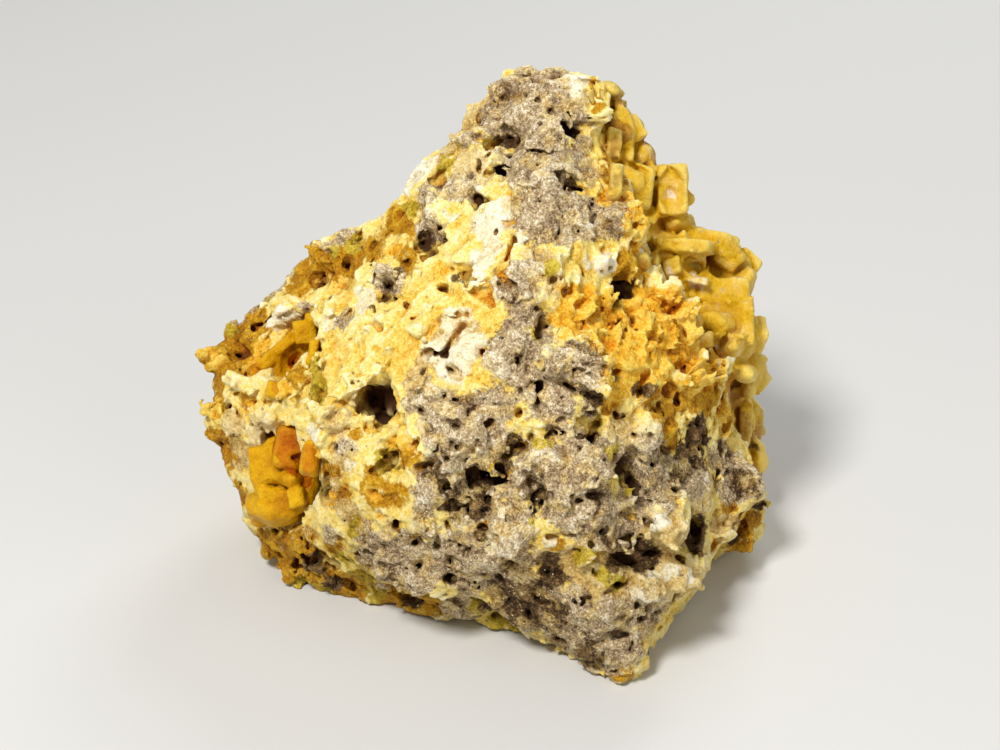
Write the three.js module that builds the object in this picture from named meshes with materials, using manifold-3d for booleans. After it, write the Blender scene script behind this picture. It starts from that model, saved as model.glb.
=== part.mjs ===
// A smithsonite pseudomorph on matrix: a fist-sized, ridged piece of porous rock whose right and back
// sides carry a crust of intergrown yellow crystals. The crystals have the blunt, six-sided dogtooth
// form of the calcite that smithsonite replaced, and some are hollow. Two hollows on the left are
// lined with amber smithsonite.
//
// Units are millimetres, +Z is up and the specimen rests on z = 0. Landmarks are measured from the
// front corner of the base; at the end everything is moved so that the origin is at the middle of the
// bounding box's underside.
import * as THREE from "three";
import { ConvexHull } from "three/addons/math/ConvexHull.js";
import { ImprovedNoise } from "three/addons/math/ImprovedNoise.js";
import { ConvexGeometry } from "three/addons/geometries/ConvexGeometry.js";
import { mergeVertices } from "three/addons/utils/BufferGeometryUtils.js";
import Module from "manifold-3d";

const wasm = await Module();
wasm.setup();

// ---- Driving dimensions ------------------------------------------------------------------------

const HEART = new THREE.Vector3(-22, 46, 40); // the point that every landmark is seen from
const ROCK_DETAIL = 10; // subdivisions of the icosahedron that the rock is shaped from
const CRUST_DETAIL = 6; // the same for the bed that the crystals stand on
const CRUST_THICKNESS = 8; // from the matrix to the crystals' usual tips
const CRUST_BED = 5; // the part of that thickness that is solid crust under the crystals
const CRUST_ROOT = 4; // how far the bed dips into the rock where no crust grows
const ROUGHNESS = { wavelength: 14, height: 2 }; // lumps and dents of the broken rock
const LEVEL_HEIGHT = 9; // the roughness fades out from here down to the level underside
const GAP = 0.35; // between two solids that touch
const TABLE = { width: 300, depth: 40 }; // what the underside is cut level by

// The rock's corners and ridges, [x, y, z]. Flat broken faces span the space between them.
const SUMMIT = [
  [-11, 62, 95], [-17, 60, 95], [-24, 58, 91], [-24, 57, 88], [-31, 56, 84],
  [-4, 63, 92], [1, 63, 89], [3, 63, 85], [-14, 47, 92], [-22, 49, 88], [-6, 51, 87],
];
const LEFT_SLOPE = [
  [-38, 57, 77], [-43, 57, 68], [-51, 60, 62], [-56, 61, 60], [-60, 61, 55], [-68, 59, 48],
  [-74, 59, 44], [-33, 48, 77], [-40, 43, 69], [-51, 52, 59], [-43, 39, 61], [-59, 52, 51],
  [-47, 31, 55], [-56, 38, 46], [-65, 52, 42], [-70, 47, 37],
];
const LEFT_END = [
  [-79, 58, 38], [-76, 55, 34], [-79, 52, 28], [-77, 50, 22], [-74, 48, 17], [-72, 45, 12],
  [-67, 40, 8], [-54, 27, 41], [-64, 37, 31], [-60, 34, 25], [-68, 39, 18], [-57, 27, 16],
];
const FRONT_RIDGE = [
  [-15, 35, 82], [-22, 26, 75], [-12, 28, 74], [-19, 17, 66], [-19, 11, 56], [-12, 7, 48],
  [-8, 4, 38], [-22, 8, 40], [-5, 3, 27], [-11, 4, 15], [-1, 1, 18], [-4, 1, 10],
];
const FRONT_LEFT = [
  [-32, 28, 65], [-32, 17, 57], [-43, 22, 47], [-32, 10, 49], [-48, 18, 34], [-34, 7, 39],
  [-45, 15, 24], [-32, 9, 25], [-18, 6, 27], [-40, 19, 10], [-25, 13, 12],
];
const FRONT_RIGHT = [
  [-2, 43, 77], [3, 49, 66], [-8, 23, 63], [5, 34, 60], [15, 49, 54], [-5, 17, 57], [8, 29, 50],
  [18, 42, 41], [2, 17, 45], [14, 33, 36], [4, 15, 32], [16, 28, 26], [6, 11, 26], [20, 31, 16],
  [10, 13, 16], [5, 8, 11], [17, 27, 8], [17, 40, 2],
];
const RIGHT_EDGE = [
  [7, 64, 78], [11, 64, 74], [13, 63, 68], [15, 63, 63], [21, 62, 58], [27, 63, 50],
  [25, 58, 41], [27, 56, 34], [26, 56, 29], [27, 57, 22], [31, 56, 16], [28, 49, 15],
  [30, 45, 11], [28, 52, 0],
];
const BACK = [
  [-27, 70, 76], [-10, 76, 80], [4, 74, 74], [-42, 76, 56], [-24, 84, 64], [-4, 87, 66],
  [13, 80, 58], [-62, 74, 44], [-46, 88, 40], [-20, 94, 44], [4, 92, 40], [22, 78, 36],
  [-74, 68, 26], [-62, 84, 24], [-40, 95, 20], [-12, 98, 22], [12, 90, 18], [28, 70, 20],
];
const BASE = [
  [-62, 36, 0], [-53, 33, 0], [-44, 29, 0], [-33, 25, 0], [-22, 22, 0], [-12, 15, 0], [-5, 8, 0],
  [-2, 3, 0], [2, 5, 0], [7, 15, 0], [11, 26, 0], [24, 47, 0], [26, 66, 0], [14, 82, 0],
  [-8, 90, 0], [-36, 88, 0], [-58, 76, 0], [-69, 56, 0], [-24, 42, -2], [-38, 60, -2], [-4, 60, -2],
];
const LANDMARKS = [
  ...SUMMIT, ...LEFT_SLOPE, ...LEFT_END, ...FRONT_RIDGE, ...FRONT_LEFT, ...FRONT_RIGHT,
  ...RIGHT_EDGE, ...BACK, ...BASE,
].map((p) => new THREE.Vector3(...p));

// Hollows in the matrix: centre, half-sizes and turn about the upright axis in degrees.
const HOLLOWS = [
  { at: [-21, 48, 86], half: [4, 3, 2.6], turn: 0 }, // under the summit
  { at: [-33, 49, 78], half: [2.6, 3, 2], turn: 0 },
  { at: [-35, 40, 70], half: [3, 3, 3.4], turn: -20 },
  { at: [-55, 53, 57], half: [3, 3.5, 2.2], turn: 30 },
  { at: [-43, 23, 47], half: [3.6, 4, 3.6], turn: 0 }, // the dark hollow left of the ridge
  { at: [-41, 15, 40], half: [2.4, 3.5, 3], turn: 0 },
  { at: [-53, 24, 26], half: [1.6, 3, 4], turn: -35 },
  { at: [-25, 9, 38], half: [5, 4, 3], turn: 0 },
  { at: [-16, 7, 38], half: [1.5, 3.5, 4], turn: 10 }, // the narrow slot in the ridge
  { at: [-6, 13, 49], half: [4, 4, 3], turn: 25 }, // under the grey block
  { at: [1, 15, 37], half: [1.8, 3.5, 5.5], turn: 30 }, // the yellow-lined crack
  { at: [0, 35, 63], half: [3.4, 4, 3.6], turn: 50 },
  { at: [2, 9, 25], half: [7, 5, 2.6], turn: 35 }, // under the ledge above the foot
  { at: [13, 21, 21], half: [3, 4, 3.2], turn: 45 },
  { at: [-22, 17, 4], half: [6, 4, 3], turn: 30 },
  { at: [-55, 29, 11], half: [4, 4, 2.6], turn: -30 },
  { at: [-60, 36, 19], half: [3, 4, 4], turn: -20 },
  { at: [-48, 62, 0], half: [11, 8, 3], turn: 20 }, // two shallow ones in the underside
  { at: [-3, 48, 0], half: [8, 13, 2.6], turn: 10 },
];

// Blocks that stand proud of the matrix: centre, half-sizes and turn.
const BLOCKS = [
  { at: [-11, 59, 88], half: [9, 7, 6.5], turn: 0 }, // the summit
  { at: [-21, 61, 86], half: [4.5, 4, 5], turn: 20 }, // the knob left of it
  { at: [-10, 22, 58], half: [7.5, 6, 4.6], turn: 12 }, // grey block on the ridge
  { at: [-3, 45, 72], half: [6, 7, 5], turn: 30 },
  { at: [-49, 58, 56], half: [9, 6, 4.5], turn: 10 },
  { at: [-43, 46, 58], half: [6, 6, 6], turn: 0 },
  { at: [-52, 29, 38], half: [7, 6, 5], turn: -25 },
  { at: [-34, 21, 48], half: [9, 7, 6], turn: -15 },
  { at: [-74, 58, 37], half: [4.6, 4, 3.6], turn: 0 },
  { at: [6, 16, 28], half: [7, 6, 5], turn: 40 },
  { at: [8, 16, 17], half: [10, 6, 4.6], turn: 45 }, // the foot's cream ledge
  { at: [21, 43, 11], half: [7, 7, 6.5], turn: -40 },
  { at: [-64, 49, 34], half: [6, 6, 4], turn: -20 },
  { at: [-36, 17, 17], half: [9, 6, 5], turn: -20 },
  { at: [0, 8, 6], half: [5, 5, 7], turn: 30 },
];

// Hollows lined with amber crystals.
const VUGS = {
  upper: { at: [-60, 46, 46], half: [8, 9, 8], turn: -25, crystals: 5 },
  lower: { at: [-57, 35, 28], half: [7, 8, 7.5], turn: -25, crystals: 5 },
};
const LINING = 1.6; // thickness of a vug's lining between its crystals
const LINING_CRYSTAL = { length: 7, width: 4.4, thickness: 3.6 };
const LINING_DEPTH = 0.8; // how far below the rock's surface a lining stops

// Crystals of the crust that stand out on the right: root centre, axis, length, width and thickness.
const RIGHT_CRYSTALS = [
  { at: [-4, 66, 86], axis: [0.5, 0.1, 0.85], length: 9, width: 9, thickness: 8 },
  { at: [1, 66, 80], axis: [0.8, 0.2, 0.5], length: 9, width: 9, thickness: 7 },
  { at: [3, 66, 74], axis: [0.9, -0.1, 0.4], length: 9, width: 9, thickness: 8 },
  { at: [8, 65, 68], axis: [0.25, -0.3, 0.9], length: 14, width: 8, thickness: 8, hollow: true },
  { at: [13, 65, 59], axis: [0.8, 0, -0.3], length: 15, width: 10, thickness: 7 },
  { at: [16, 62, 51], axis: [0.6, -0.7, 0.2], length: 14, width: 12, thickness: 10, hollow: true },
  { at: [18, 62, 45], axis: [0.8, -0.2, 0.5], length: 14, width: 13, thickness: 11 },
  { at: [18, 61, 37], axis: [0.9, -0.1, 0.1], length: 14, width: 12, thickness: 10 },
  { at: [20, 60, 29], axis: [0.9, 0, 0.3], length: 12, width: 9, thickness: 8 },
  { at: [21, 61, 22], axis: [0.9, 0.1, 0.1], length: 12, width: 9, thickness: 8 },
  { at: [24, 61, 16], axis: [0.9, -0.1, 0], length: 12, width: 9, thickness: 8 },
];

// The other crystals, spread evenly over the crust. Width and thickness are shares of the length.
const SPREAD_CRYSTALS = {
  count: 170, minLength: 11, maxLength: 17, width: 0.9, minThickness: 0.53, maxThickness: 0.83,
  rootDepth: 2, lean: 0.45, hollowEvery: 5, leastCover: 0.7, clearOfTable: 9,
};

// A hollow crystal's bore, as shares of the crystal's length and width.
const BORE = { rise: 0.42, length: 0.8, width: 0.66 };

// The crust grows on everything beyond this plane, which faces right, back and a little up. Its border
// wavers to both sides of the plane.
const CRUST_SIDE = { normal: new THREE.Vector3(0.62, 0.75, 0.25), start: 58, ramp: 7 };
const CRUST_BORDER = { wavelength: 16, height: 3, seed: 5 };

const PEBBLE_UNEVENNESS = 0.16; // share of a hollow's radius
const BOULDER_UNEVENNESS = 0.5; // share of a block's radius
const BOULDER_ROUNDING = 0.6; // 0 keeps a block's box shape, 1 makes it a ball

// ---- Small tools -------------------------------------------------------------------------------

const perlin = new ImprovedNoise();

// Lumps of about the given wavelength with finer ones on them, from about -1 to 1.
function lumps(p, wavelength, seed = 0) {
  let sum = 0;
  for (let octave = 0; octave < 3; octave++) {
    const f = 2 ** octave / wavelength;
    sum += perlin.noise(p.x * f + seed, p.y * f + 7 * octave, p.z * f + 3) / 2 ** octave;
  }
  return sum;
}

function smoothstep(low, high, x) {
  return THREE.MathUtils.smoothstep(x, low, high);
}

// A three.js geometry as a manifold solid.
function solidOf(geometry) {
  const bare = new THREE.BufferGeometry().setAttribute("position", geometry.getAttribute("position"));
  bare.setIndex(geometry.index);
  const merged = mergeVertices(bare, 1e-4);
  return new wasm.Manifold(
    new wasm.Mesh({
      numProp: 3,
      vertProperties: new Float32Array(merged.getAttribute("position").array),
      triVerts: new Uint32Array(merged.index.array),
    }),
  );
}

// A manifold solid as a three.js geometry; fragments that a cut left loose are dropped.
function geometryOf(solid) {
  const largest = solid.decompose().sort((a, b) => b.volume() - a.volume())[0];
  const mesh = largest.getMesh();
  return new THREE.BufferGeometry()
    .setAttribute("position", new THREE.BufferAttribute(mesh.vertProperties, 3))
    .setIndex(new THREE.BufferAttribute(mesh.triVerts, 1));
}

// A ball whose surface is moved along each direction: reach(direction) is its radius there.
function shapedBall(detail, centre, reach) {
  const ball = new THREE.IcosahedronGeometry(1, detail);
  const at = ball.getAttribute("position");
  const direction = new THREE.Vector3();
  const cache = new Map();
  for (let i = 0; i < at.count; i++) {
    direction.fromBufferAttribute(at, i).normalize();
    const key = direction.toArray().map((x) => x.toFixed(5)).join();
    if (!cache.has(key)) cache.set(key, direction.clone().multiplyScalar(reach(direction)).add(centre));
    at.setXYZ(i, ...cache.get(key).toArray());
  }
  return ball;
}

// ---- The rock's form -----------------------------------------------------------------------------

// Facets between landmarks: the hull of their directions from the heart says which are neighbours.
function facetsOf(landmarks) {
  const directions = landmarks.map((p) => p.clone().sub(HEART).normalize());
  const hull = new ConvexHull().setFromPoints(directions);
  return hull.faces.map((face) => {
    const corners = [0, 1, 2].map((i) => face.getEdge(i).head().point);
    const [a, b, c] = corners.map((d) => landmarks[directions.indexOf(d)].clone().sub(HEART));
    const normal = b.clone().sub(a).cross(c.clone().sub(a));
    const sides = corners.map((d, i) => d.clone().cross(corners[(i + 1) % 3]));
    return { normal, offset: normal.dot(a), sides };
  });
}

const FACETS = facetsOf(LANDMARKS);

// Distance from the heart to the facet in a direction.
function facetReach(direction) {
  let best = null;
  let depth = -Infinity;
  for (const facet of FACETS) {
    const inside = Math.min(...facet.sides.map((side) => side.dot(direction)));
    if (inside > depth) {
      depth = inside;
      best = facet;
    }
  }
  return best.offset / best.normal.dot(direction);
}

// The whole specimen's outer surface, rough but with a level underside.
function outerReach(direction) {
  const reach = facetReach(direction);
  const p = direction.clone().multiplyScalar(reach).add(HEART);
  const above = smoothstep(0, LEVEL_HEIGHT, p.z);
  return reach + above * ROUGHNESS.height * lumps(p, ROUGHNESS.wavelength);
}

// 1 where the crust grows, 0 where the matrix is bare.
function crustCover(direction) {
  const p = direction.clone().multiplyScalar(facetReach(direction)).add(HEART);
  const { normal, start, ramp } = CRUST_SIDE;
  const { wavelength, height, seed } = CRUST_BORDER;
  return smoothstep(start, start + ramp, p.dot(normal) + height * lumps(p, wavelength, seed));
}

function matrixReach(direction) {
  return outerReach(direction) - CRUST_THICKNESS * crustCover(direction);
}

// A blunt dogtooth crystal's rings of corners, as shares of its length and width. The waist zigzags, as
// a scalenohedron's does, and both ends are cut off by three-cornered faces.
const CRYSTAL_RINGS = [
  { height: -0.5, radius: 0.3, corners: 3, zigzag: 0 },
  { height: 0.1, radius: 0.54, corners: 6, zigzag: 0.1 },
  { height: 0.5, radius: 0.3, corners: 3, zigzag: 0 },
];

function crystal({ at, axis, length, width, thickness }, twist = 0) {
  const points = [];
  for (const { height, radius, corners, zigzag } of CRYSTAL_RINGS) {
    for (let i = 0; i < corners; i++) {
      const angle = (i / corners) * 2 * Math.PI;
      const x = radius * width * Math.cos(angle);
      const y = radius * thickness * Math.sin(angle);
      points.push(new THREE.Vector3(x, y, (height + (i % 2 ? zigzag : -zigzag)) * length));
    }
  }
  const geometry = new ConvexGeometry(points);
  geometry.rotateZ(twist);
  const along = new THREE.Vector3(...axis).normalize();
  geometry.applyQuaternion(new THREE.Quaternion().setFromUnitVectors(new THREE.Vector3(0, 0, 1), along));
  return geometry.translate(...at);
}

function crystalSolid(size, twist) {
  const outside = solidOf(crystal(size, twist));
  if (!size.hollow) return outside;
  const { axis, at, length, width, thickness } = size;
  const outward = new THREE.Vector3(...axis).normalize().multiplyScalar(BORE.rise * length);
  const bore = {
    at: new THREE.Vector3(...at).add(outward).toArray(), axis,
    length: BORE.length * length, width: BORE.width * width, thickness: BORE.width * thickness,
  };
  return outside.subtract(solidOf(crystal(bore, twist)));
}

// Even spacing over a ball: each direction turns on from the last by the golden angle.
function spiralDirection(i, count) {
  const height = 1 - (2 * (i + 0.5)) / count;
  const turn = i * Math.PI * (3 - Math.sqrt(5));
  const flat = Math.sqrt(1 - height * height);
  return new THREE.Vector3(flat * Math.cos(turn), flat * Math.sin(turn), height);
}

// Crystals spread over the crust, leaning a little to every side.
function spreadCrystals(spread) {
  const crystals = [];
  for (let i = 0; i < spread.count; i++) {
    const direction = spiralDirection(i, spread.count);
    const rootReach = matrixReach(direction) + CRUST_BED - spread.rootDepth;
    const root = direction.clone().multiplyScalar(rootReach).add(HEART);
    if (crustCover(direction) < spread.leastCover || root.z < spread.clearOfTable) continue;
    const lean = new THREE.Vector3(Math.sin(5 * i), Math.cos(7 * i), Math.sin(11 * i));
    const length = THREE.MathUtils.lerp(spread.minLength, spread.maxLength, 0.5 + 0.5 * Math.sin(3 * i));
    const { minThickness, maxThickness } = spread;
    const thickness = THREE.MathUtils.lerp(minThickness, maxThickness, 0.5 + 0.5 * Math.cos(2 * i));
    crystals.push({
      at: root.toArray(), axis: direction.addScaledVector(lean, spread.lean).toArray(),
      length, width: spread.width * length, thickness: thickness * length,
      hollow: i % spread.hollowEvery === 0,
    });
  }
  return crystals;
}

// ---- Matrix ------------------------------------------------------------------------------------

// An uneven egg-shaped solid, `grow` mm larger than its half-sizes on every side.
function pebble({ at, half, turn }, grow = 0) {
  const uneven = (d) => 1 + PEBBLE_UNEVENNESS * perlin.noise(3 * d.x + at[0], 3 * d.y, 3 * d.z);
  const ball = shapedBall(1, new THREE.Vector3(), uneven);
  ball.scale(...half.map((h) => h + grow));
  return ball.rotateZ(THREE.MathUtils.degToRad(turn)).translate(...at);
}

// A broken, angular block: a box whose corners and face centres are pulled about.
function boulder({ at, half, turn }, grow = 0) {
  const box = new THREE.BoxGeometry(2, 2, 2, 2, 2, 2).getAttribute("position");
  const points = [];
  for (let i = 0; i < box.count; i++) {
    const p = new THREE.Vector3().fromBufferAttribute(box, i);
    const pull = BOULDER_UNEVENNESS * perlin.noise(p.x + at[0], p.y + at[1], p.z + at[2]);
    points.push(p.multiplyScalar((1 + pull) / p.length() ** BOULDER_ROUNDING));
  }
  const block = new ConvexGeometry(points).scale(...half.map((h) => h + grow));
  return block.rotateZ(THREE.MathUtils.degToRad(turn)).translate(...at);
}

function tableCut() {
  const slab = new THREE.BoxGeometry(TABLE.width, TABLE.width, TABLE.depth);
  return solidOf(slab.translate(0, 0, -TABLE.depth / 2));
}

function rockBlank(grow = 0) {
  let rock = solidOf(shapedBall(ROCK_DETAIL, HEART, (direction) => matrixReach(direction) + grow));
  for (const block of BLOCKS) rock = rock.add(solidOf(boulder(block, grow)));
  return rock;
}

function buildMatrix() {
  let rock = rockBlank();
  for (const hollow of HOLLOWS) rock = rock.subtract(solidOf(pebble(hollow)));
  for (const vug of Object.values(VUGS)) rock = rock.subtract(solidOf(pebble(vug)));
  return geometryOf(rock.subtract(tableCut()));
}

// ---- Crust and linings ---------------------------------------------------------------------------

function buildCrust() {
  const bedReach = (direction) => {
    const cover = crustCover(direction);
    return matrixReach(direction) + THREE.MathUtils.lerp(-CRUST_ROOT, CRUST_BED, cover);
  };
  let crust = solidOf(shapedBall(CRUST_DETAIL, HEART, bedReach));
  RIGHT_CRYSTALS.forEach((size, i) => (crust = crust.add(crystalSolid(size, i))));
  spreadCrystals(SPREAD_CRYSTALS).forEach((size, i) => (crust = crust.add(crystalSolid(size, i))));
  return geometryOf(crust.subtract(rockBlank(GAP)).subtract(tableCut()));
}

// A lining follows its vug's wall, stops short of the rock's surface and carries small crystals.
function buildLining(vug) {
  const centre = new THREE.Vector3(...vug.at);
  const below = (direction) => matrixReach(direction) - LINING_DEPTH;
  const room = solidOf(pebble(vug, -GAP)).intersect(solidOf(shapedBall(ROCK_DETAIL, HEART, below)));
  const inward = HEART.clone().sub(centre).normalize();
  let lining = room.subtract(solidOf(pebble(vug, -GAP - LINING)));
  for (let i = 0; i < vug.crystals; i++) {
    const angle = (2 * Math.PI * i) / vug.crystals;
    const side = new THREE.Vector3(0, Math.cos(angle), Math.sin(angle));
    const wall = inward.clone().multiplyScalar(0.6 + 0.4 * Math.sin(3 * i)).add(side).normalize();
    const root = wall.clone().multiply(new THREE.Vector3(...vug.half)).add(centre);
    const size = { ...LINING_CRYSTAL, at: root.toArray(), axis: wall.negate().toArray() };
    lining = lining.add(solidOf(crystal(size, i)).intersect(room));
  }
  return geometryOf(lining);
}

// ---- Assembly ------------------------------------------------------------------------------------

function material(color, roughness) {
  return new THREE.MeshStandardMaterial({ color, roughness, flatShading: true });
}

const NODES = [
  ["matrix", buildMatrix(), material(0xb8a888, 0.9)],
  ["pseudomorph_crust", buildCrust(), material(0xdcb548, 0.45)],
  ["upper_vug_crust", buildLining(VUGS.upper), material(0xc8780f, 0.4)],
  ["lower_vug_crust", buildLining(VUGS.lower), material(0xdc9a18, 0.4)],
];

const bounds = new THREE.Box3();
for (const [, geometry] of NODES) {
  geometry.computeBoundingBox();
  bounds.union(geometry.boundingBox);
}
const middle = bounds.getCenter(new THREE.Vector3());

const group = new THREE.Group();
for (const [name, geometry, look] of NODES) {
  const node = new THREE.Mesh(geometry.translate(-middle.x, -middle.y, -bounds.min.z), look);
  node.name = name;
  group.add(node);
}

export default group;
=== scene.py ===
"""A smithsonite pseudomorph: yellow crystals on porous grey-to-ochre rock.

Each CAD solid is turned into a field of distances on a lattice, sculpted there, and meshed again. The
sculpting works in millimetres, in the frame's own axes, and the meshes are made in metres.
"""
import functools
import itertools
import math
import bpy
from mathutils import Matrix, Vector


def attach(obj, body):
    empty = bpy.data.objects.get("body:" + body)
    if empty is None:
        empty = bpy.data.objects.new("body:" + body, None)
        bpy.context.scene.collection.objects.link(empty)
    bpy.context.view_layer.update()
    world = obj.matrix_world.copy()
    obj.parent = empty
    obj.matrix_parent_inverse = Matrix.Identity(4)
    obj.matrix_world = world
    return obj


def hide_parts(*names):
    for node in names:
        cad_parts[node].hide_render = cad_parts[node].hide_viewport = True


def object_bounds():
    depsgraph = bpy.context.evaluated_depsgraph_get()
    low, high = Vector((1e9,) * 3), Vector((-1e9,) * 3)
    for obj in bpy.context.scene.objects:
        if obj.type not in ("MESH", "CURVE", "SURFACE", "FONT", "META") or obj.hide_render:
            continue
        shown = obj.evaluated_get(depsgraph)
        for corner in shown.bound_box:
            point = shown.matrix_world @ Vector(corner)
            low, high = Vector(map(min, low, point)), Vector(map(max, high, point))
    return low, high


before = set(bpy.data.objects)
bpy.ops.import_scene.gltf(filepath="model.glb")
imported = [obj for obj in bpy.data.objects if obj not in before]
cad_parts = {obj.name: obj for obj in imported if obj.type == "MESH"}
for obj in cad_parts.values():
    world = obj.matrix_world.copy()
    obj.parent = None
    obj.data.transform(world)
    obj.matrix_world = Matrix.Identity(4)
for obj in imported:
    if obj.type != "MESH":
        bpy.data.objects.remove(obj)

from concurrent.futures import ThreadPoolExecutor

import bpy
import numpy as np
import openvdb
from mathutils import Matrix, Vector
from mathutils.bvhtree import BVHTree

CAD_BOX = [list(corner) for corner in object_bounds()]
MM = 0.001

# ---- Camera ----

PICTURE = (1000, 750)  # the picture's size in pixels
LENS_MM, SENSOR_MM = 85.0, 36.0
CAMERA_DISTANCE = 430.0
CAMERA_ELEVATION = math.radians(28)
LOOKED_AT = Vector((2.4, -9.5, 43.3))
CLIP = (0.01, 20)  # the nearest and farthest that the camera sees, in metres

VIEW_BACK = Vector((0, -math.cos(CAMERA_ELEVATION), math.sin(CAMERA_ELEVATION)))
VIEW_UP = Vector((0, math.sin(CAMERA_ELEVATION), math.cos(CAMERA_ELEVATION)))
EYE = LOOKED_AT + CAMERA_DISTANCE * VIEW_BACK
FOCAL_PX = LENS_MM / SENSOR_MM * PICTURE[0]
PX = CAMERA_DISTANCE / FOCAL_PX  # millimetres that one pixel covers on the object
NUDGES, NUDGE_PX = 40, 2  # how often and how far a pixel off the outline moves in to find the rock


def link_aimed(name, data, place, direction):
    """A camera or light in the scene, at a place in metres and looking along a direction."""
    aimed = bpy.data.objects.new(name, data)
    aimed.location = place
    aimed.rotation_mode = "QUATERNION"
    aimed.rotation_quaternion = direction.to_track_quat("-Z", "Y")
    bpy.context.collection.objects.link(aimed)
    return aimed


def make_camera():
    data = bpy.data.cameras.new("camera")
    data.lens, data.sensor_width = LENS_MM, SENSOR_MM
    data.clip_start, data.clip_end = CLIP
    bpy.context.scene.camera = link_aimed("camera", data, EYE * MM, -VIEW_BACK)


# ---- CAD solids ----

def corners_of(mesh):
    """A mesh's corners in mm."""
    corners = np.empty(len(mesh.vertices) * 3, np.float32)
    mesh.vertices.foreach_get("co", corners)
    return corners.reshape(-1, 3) / MM


def solid(node):
    """A CAD node's corners in mm and its triangles."""
    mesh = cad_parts[node].data
    mesh.calc_loop_triangles()
    triangles = np.empty(len(mesh.loop_triangles) * 3, np.int32)
    mesh.loop_triangles.foreach_get("vertices", triangles)
    return corners_of(mesh), triangles.reshape(-1, 3)


NODES = ("matrix", "pseudomorph_crust", "upper_vug_crust", "lower_vug_crust")
SOLIDS = {node: solid(node) for node in NODES}


def whole_model():
    """All four solids as one tree that rays can be cast at."""
    corners, faces = [], []
    for points, triangles in SOLIDS.values():
        faces += (triangles + len(corners)).tolist()
        corners += points.tolist()
    return BVHTree.FromPolygons(corners, faces)


SEEN = whole_model()


def on_rock(u, v):
    """The point of the CAD model seen at a pixel.

    A pixel just off the outline takes the nearest one towards the middle that meets the model.
    """
    middle = Vector(PICTURE) / 2
    pixel = Vector((u, v))
    for _ in range(NUDGES):
        across, down = ((place - half) / FOCAL_PX for place, half in zip(pixel, middle))
        ray = Vector((across, 0, 0)) - down * VIEW_UP - VIEW_BACK
        point = SEEN.ray_cast(EYE, ray.normalized())[0]
        if point is not None:
            return point
        pixel += (middle - pixel).normalized() * NUDGE_PX
    raise ValueError(f"pixel {u}, {v} is far off the model")


# ---- Noise ----

TABLE = 32  # the noise repeats after this many cells
ROW = TABLE + 2  # the tables hold one more cell on each side, so that neighbours need no wrapping
RANDOM = np.random.default_rng(7)


def random_table(low, high):
    values = RANDOM.uniform(low, high, (TABLE,) * 3)
    return np.pad(values, 1, mode="wrap").astype(np.float32).ravel()


LATTICE_VALUES = random_table(-1, 1)
SEED_PLACES = [random_table(0.1, 0.9) for _ in range(3)]  # x, y and z of the one seed in each cell
NOISE_SHIFT, CELLS_SHIFT = 5.37, 3.71  # cells that the tables move by from one seed number to the next
NOISE_SCALE = np.float32(0.8)  # keeps the sum of the octaves mostly within -1 and 1
FAR = 9  # in cells, farther than any seed
CHUNK = 40_000  # points handled at once, so that the work stays in the processor's cache
WORKERS = ThreadPoolExecutor(4)


def chunked(function):
    """Runs a function of many points on a few of them at a time, side by side."""
    @functools.wraps(function)
    def run(points, *settings):
        pieces = np.array_split(np.asarray(points, np.float32), len(points) // CHUNK + 1)
        results = list(WORKERS.map(lambda piece: function(piece, *settings), pieces))
        if isinstance(results[0], tuple):
            return tuple(np.concatenate(parts) for parts in zip(*results))
        return np.concatenate(results)
    return run


def cell_of(points, size, shift):
    """The index of each point's cell in the flat tables, and its place in the cell as x, y and z."""
    q = points / np.float32(size) + np.float32(shift)
    cell = np.floor(q)
    inside = (q - cell).T.copy()
    x, y, z = cell.astype(np.int32).T % TABLE + 1
    return (x * ROW + y) * ROW + z, inside


def value_noise(points, wavelength, seed):
    """Smooth noise from -1 to 1 with lumps of about the wavelength."""
    base, inside = cell_of(points, wavelength, seed * NOISE_SHIFT)
    fx, fy, fz = inside * inside * (3 - 2 * inside)
    planes = []
    for dx in (0, ROW * ROW):
        rows = []
        for dy in (0, ROW):
            a, b = (LATTICE_VALUES.take(base + (dx + dy + dz)) for dz in (0, 1))
            rows.append(a + fz * (b - a))
        planes.append(rows[0] + fy * (rows[1] - rows[0]))
    return planes[0] + fx * (planes[1] - planes[0])


@chunked
def noise(points, wavelength, seed, octaves):
    """Noise with finer, weaker lumps on the coarse ones."""
    total = sum(value_noise(points, wavelength / 2**i, seed + i) / 2**i for i in range(octaves))
    return total * NOISE_SCALE


@chunked
def cells(points, size, seed):
    """For scattered seeds: the distance to the nearest, in cells, and a number from -1 to 1 of its own."""
    base, inside = cell_of(points, size, seed * CELLS_SHIFT)
    nearest = np.full(len(points), FAR, np.float32)
    own = np.zeros(len(points), np.float32)
    for neighbour in np.ndindex(3, 3, 3):
        shifts = [place - 1 for place in neighbour]
        at = base + ((shifts[0] * ROW + shifts[1]) * ROW + shifts[2])
        distance = 0
        for places, shift, start in zip(SEED_PLACES, shifts, inside):
            away = places.take(at) + shift - start
            distance = distance + away * away
        closer = distance < nearest
        nearest[closer] = distance[closer]
        own[closer] = LATTICE_VALUES.take(at[closer])
    return np.sqrt(nearest), own


def warped(points, reach, wavelength, seed):
    """The points moved about, so that what is measured from them gets a wandering edge."""
    moved = [reach * noise(points, wavelength, seed + 10 * axis, 2) for axis in range(3)]
    return points + np.stack(moved, axis=1)


def step(low, high, x):
    """A smooth step from 0 at low to 1 at high."""
    t = np.clip((x - low) / (high - low), 0, 1)
    return t * t * (3 - 2 * t)


def waves(points, layers):
    """The sum of layers of noise: the height, wavelength, seed and octaves of each."""
    return sum(height * noise(points, *wave) for height, *wave in layers)


# ---- Distance fields ----

BAND = 7.0  # distances are kept this far from the surface, in mm


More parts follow.
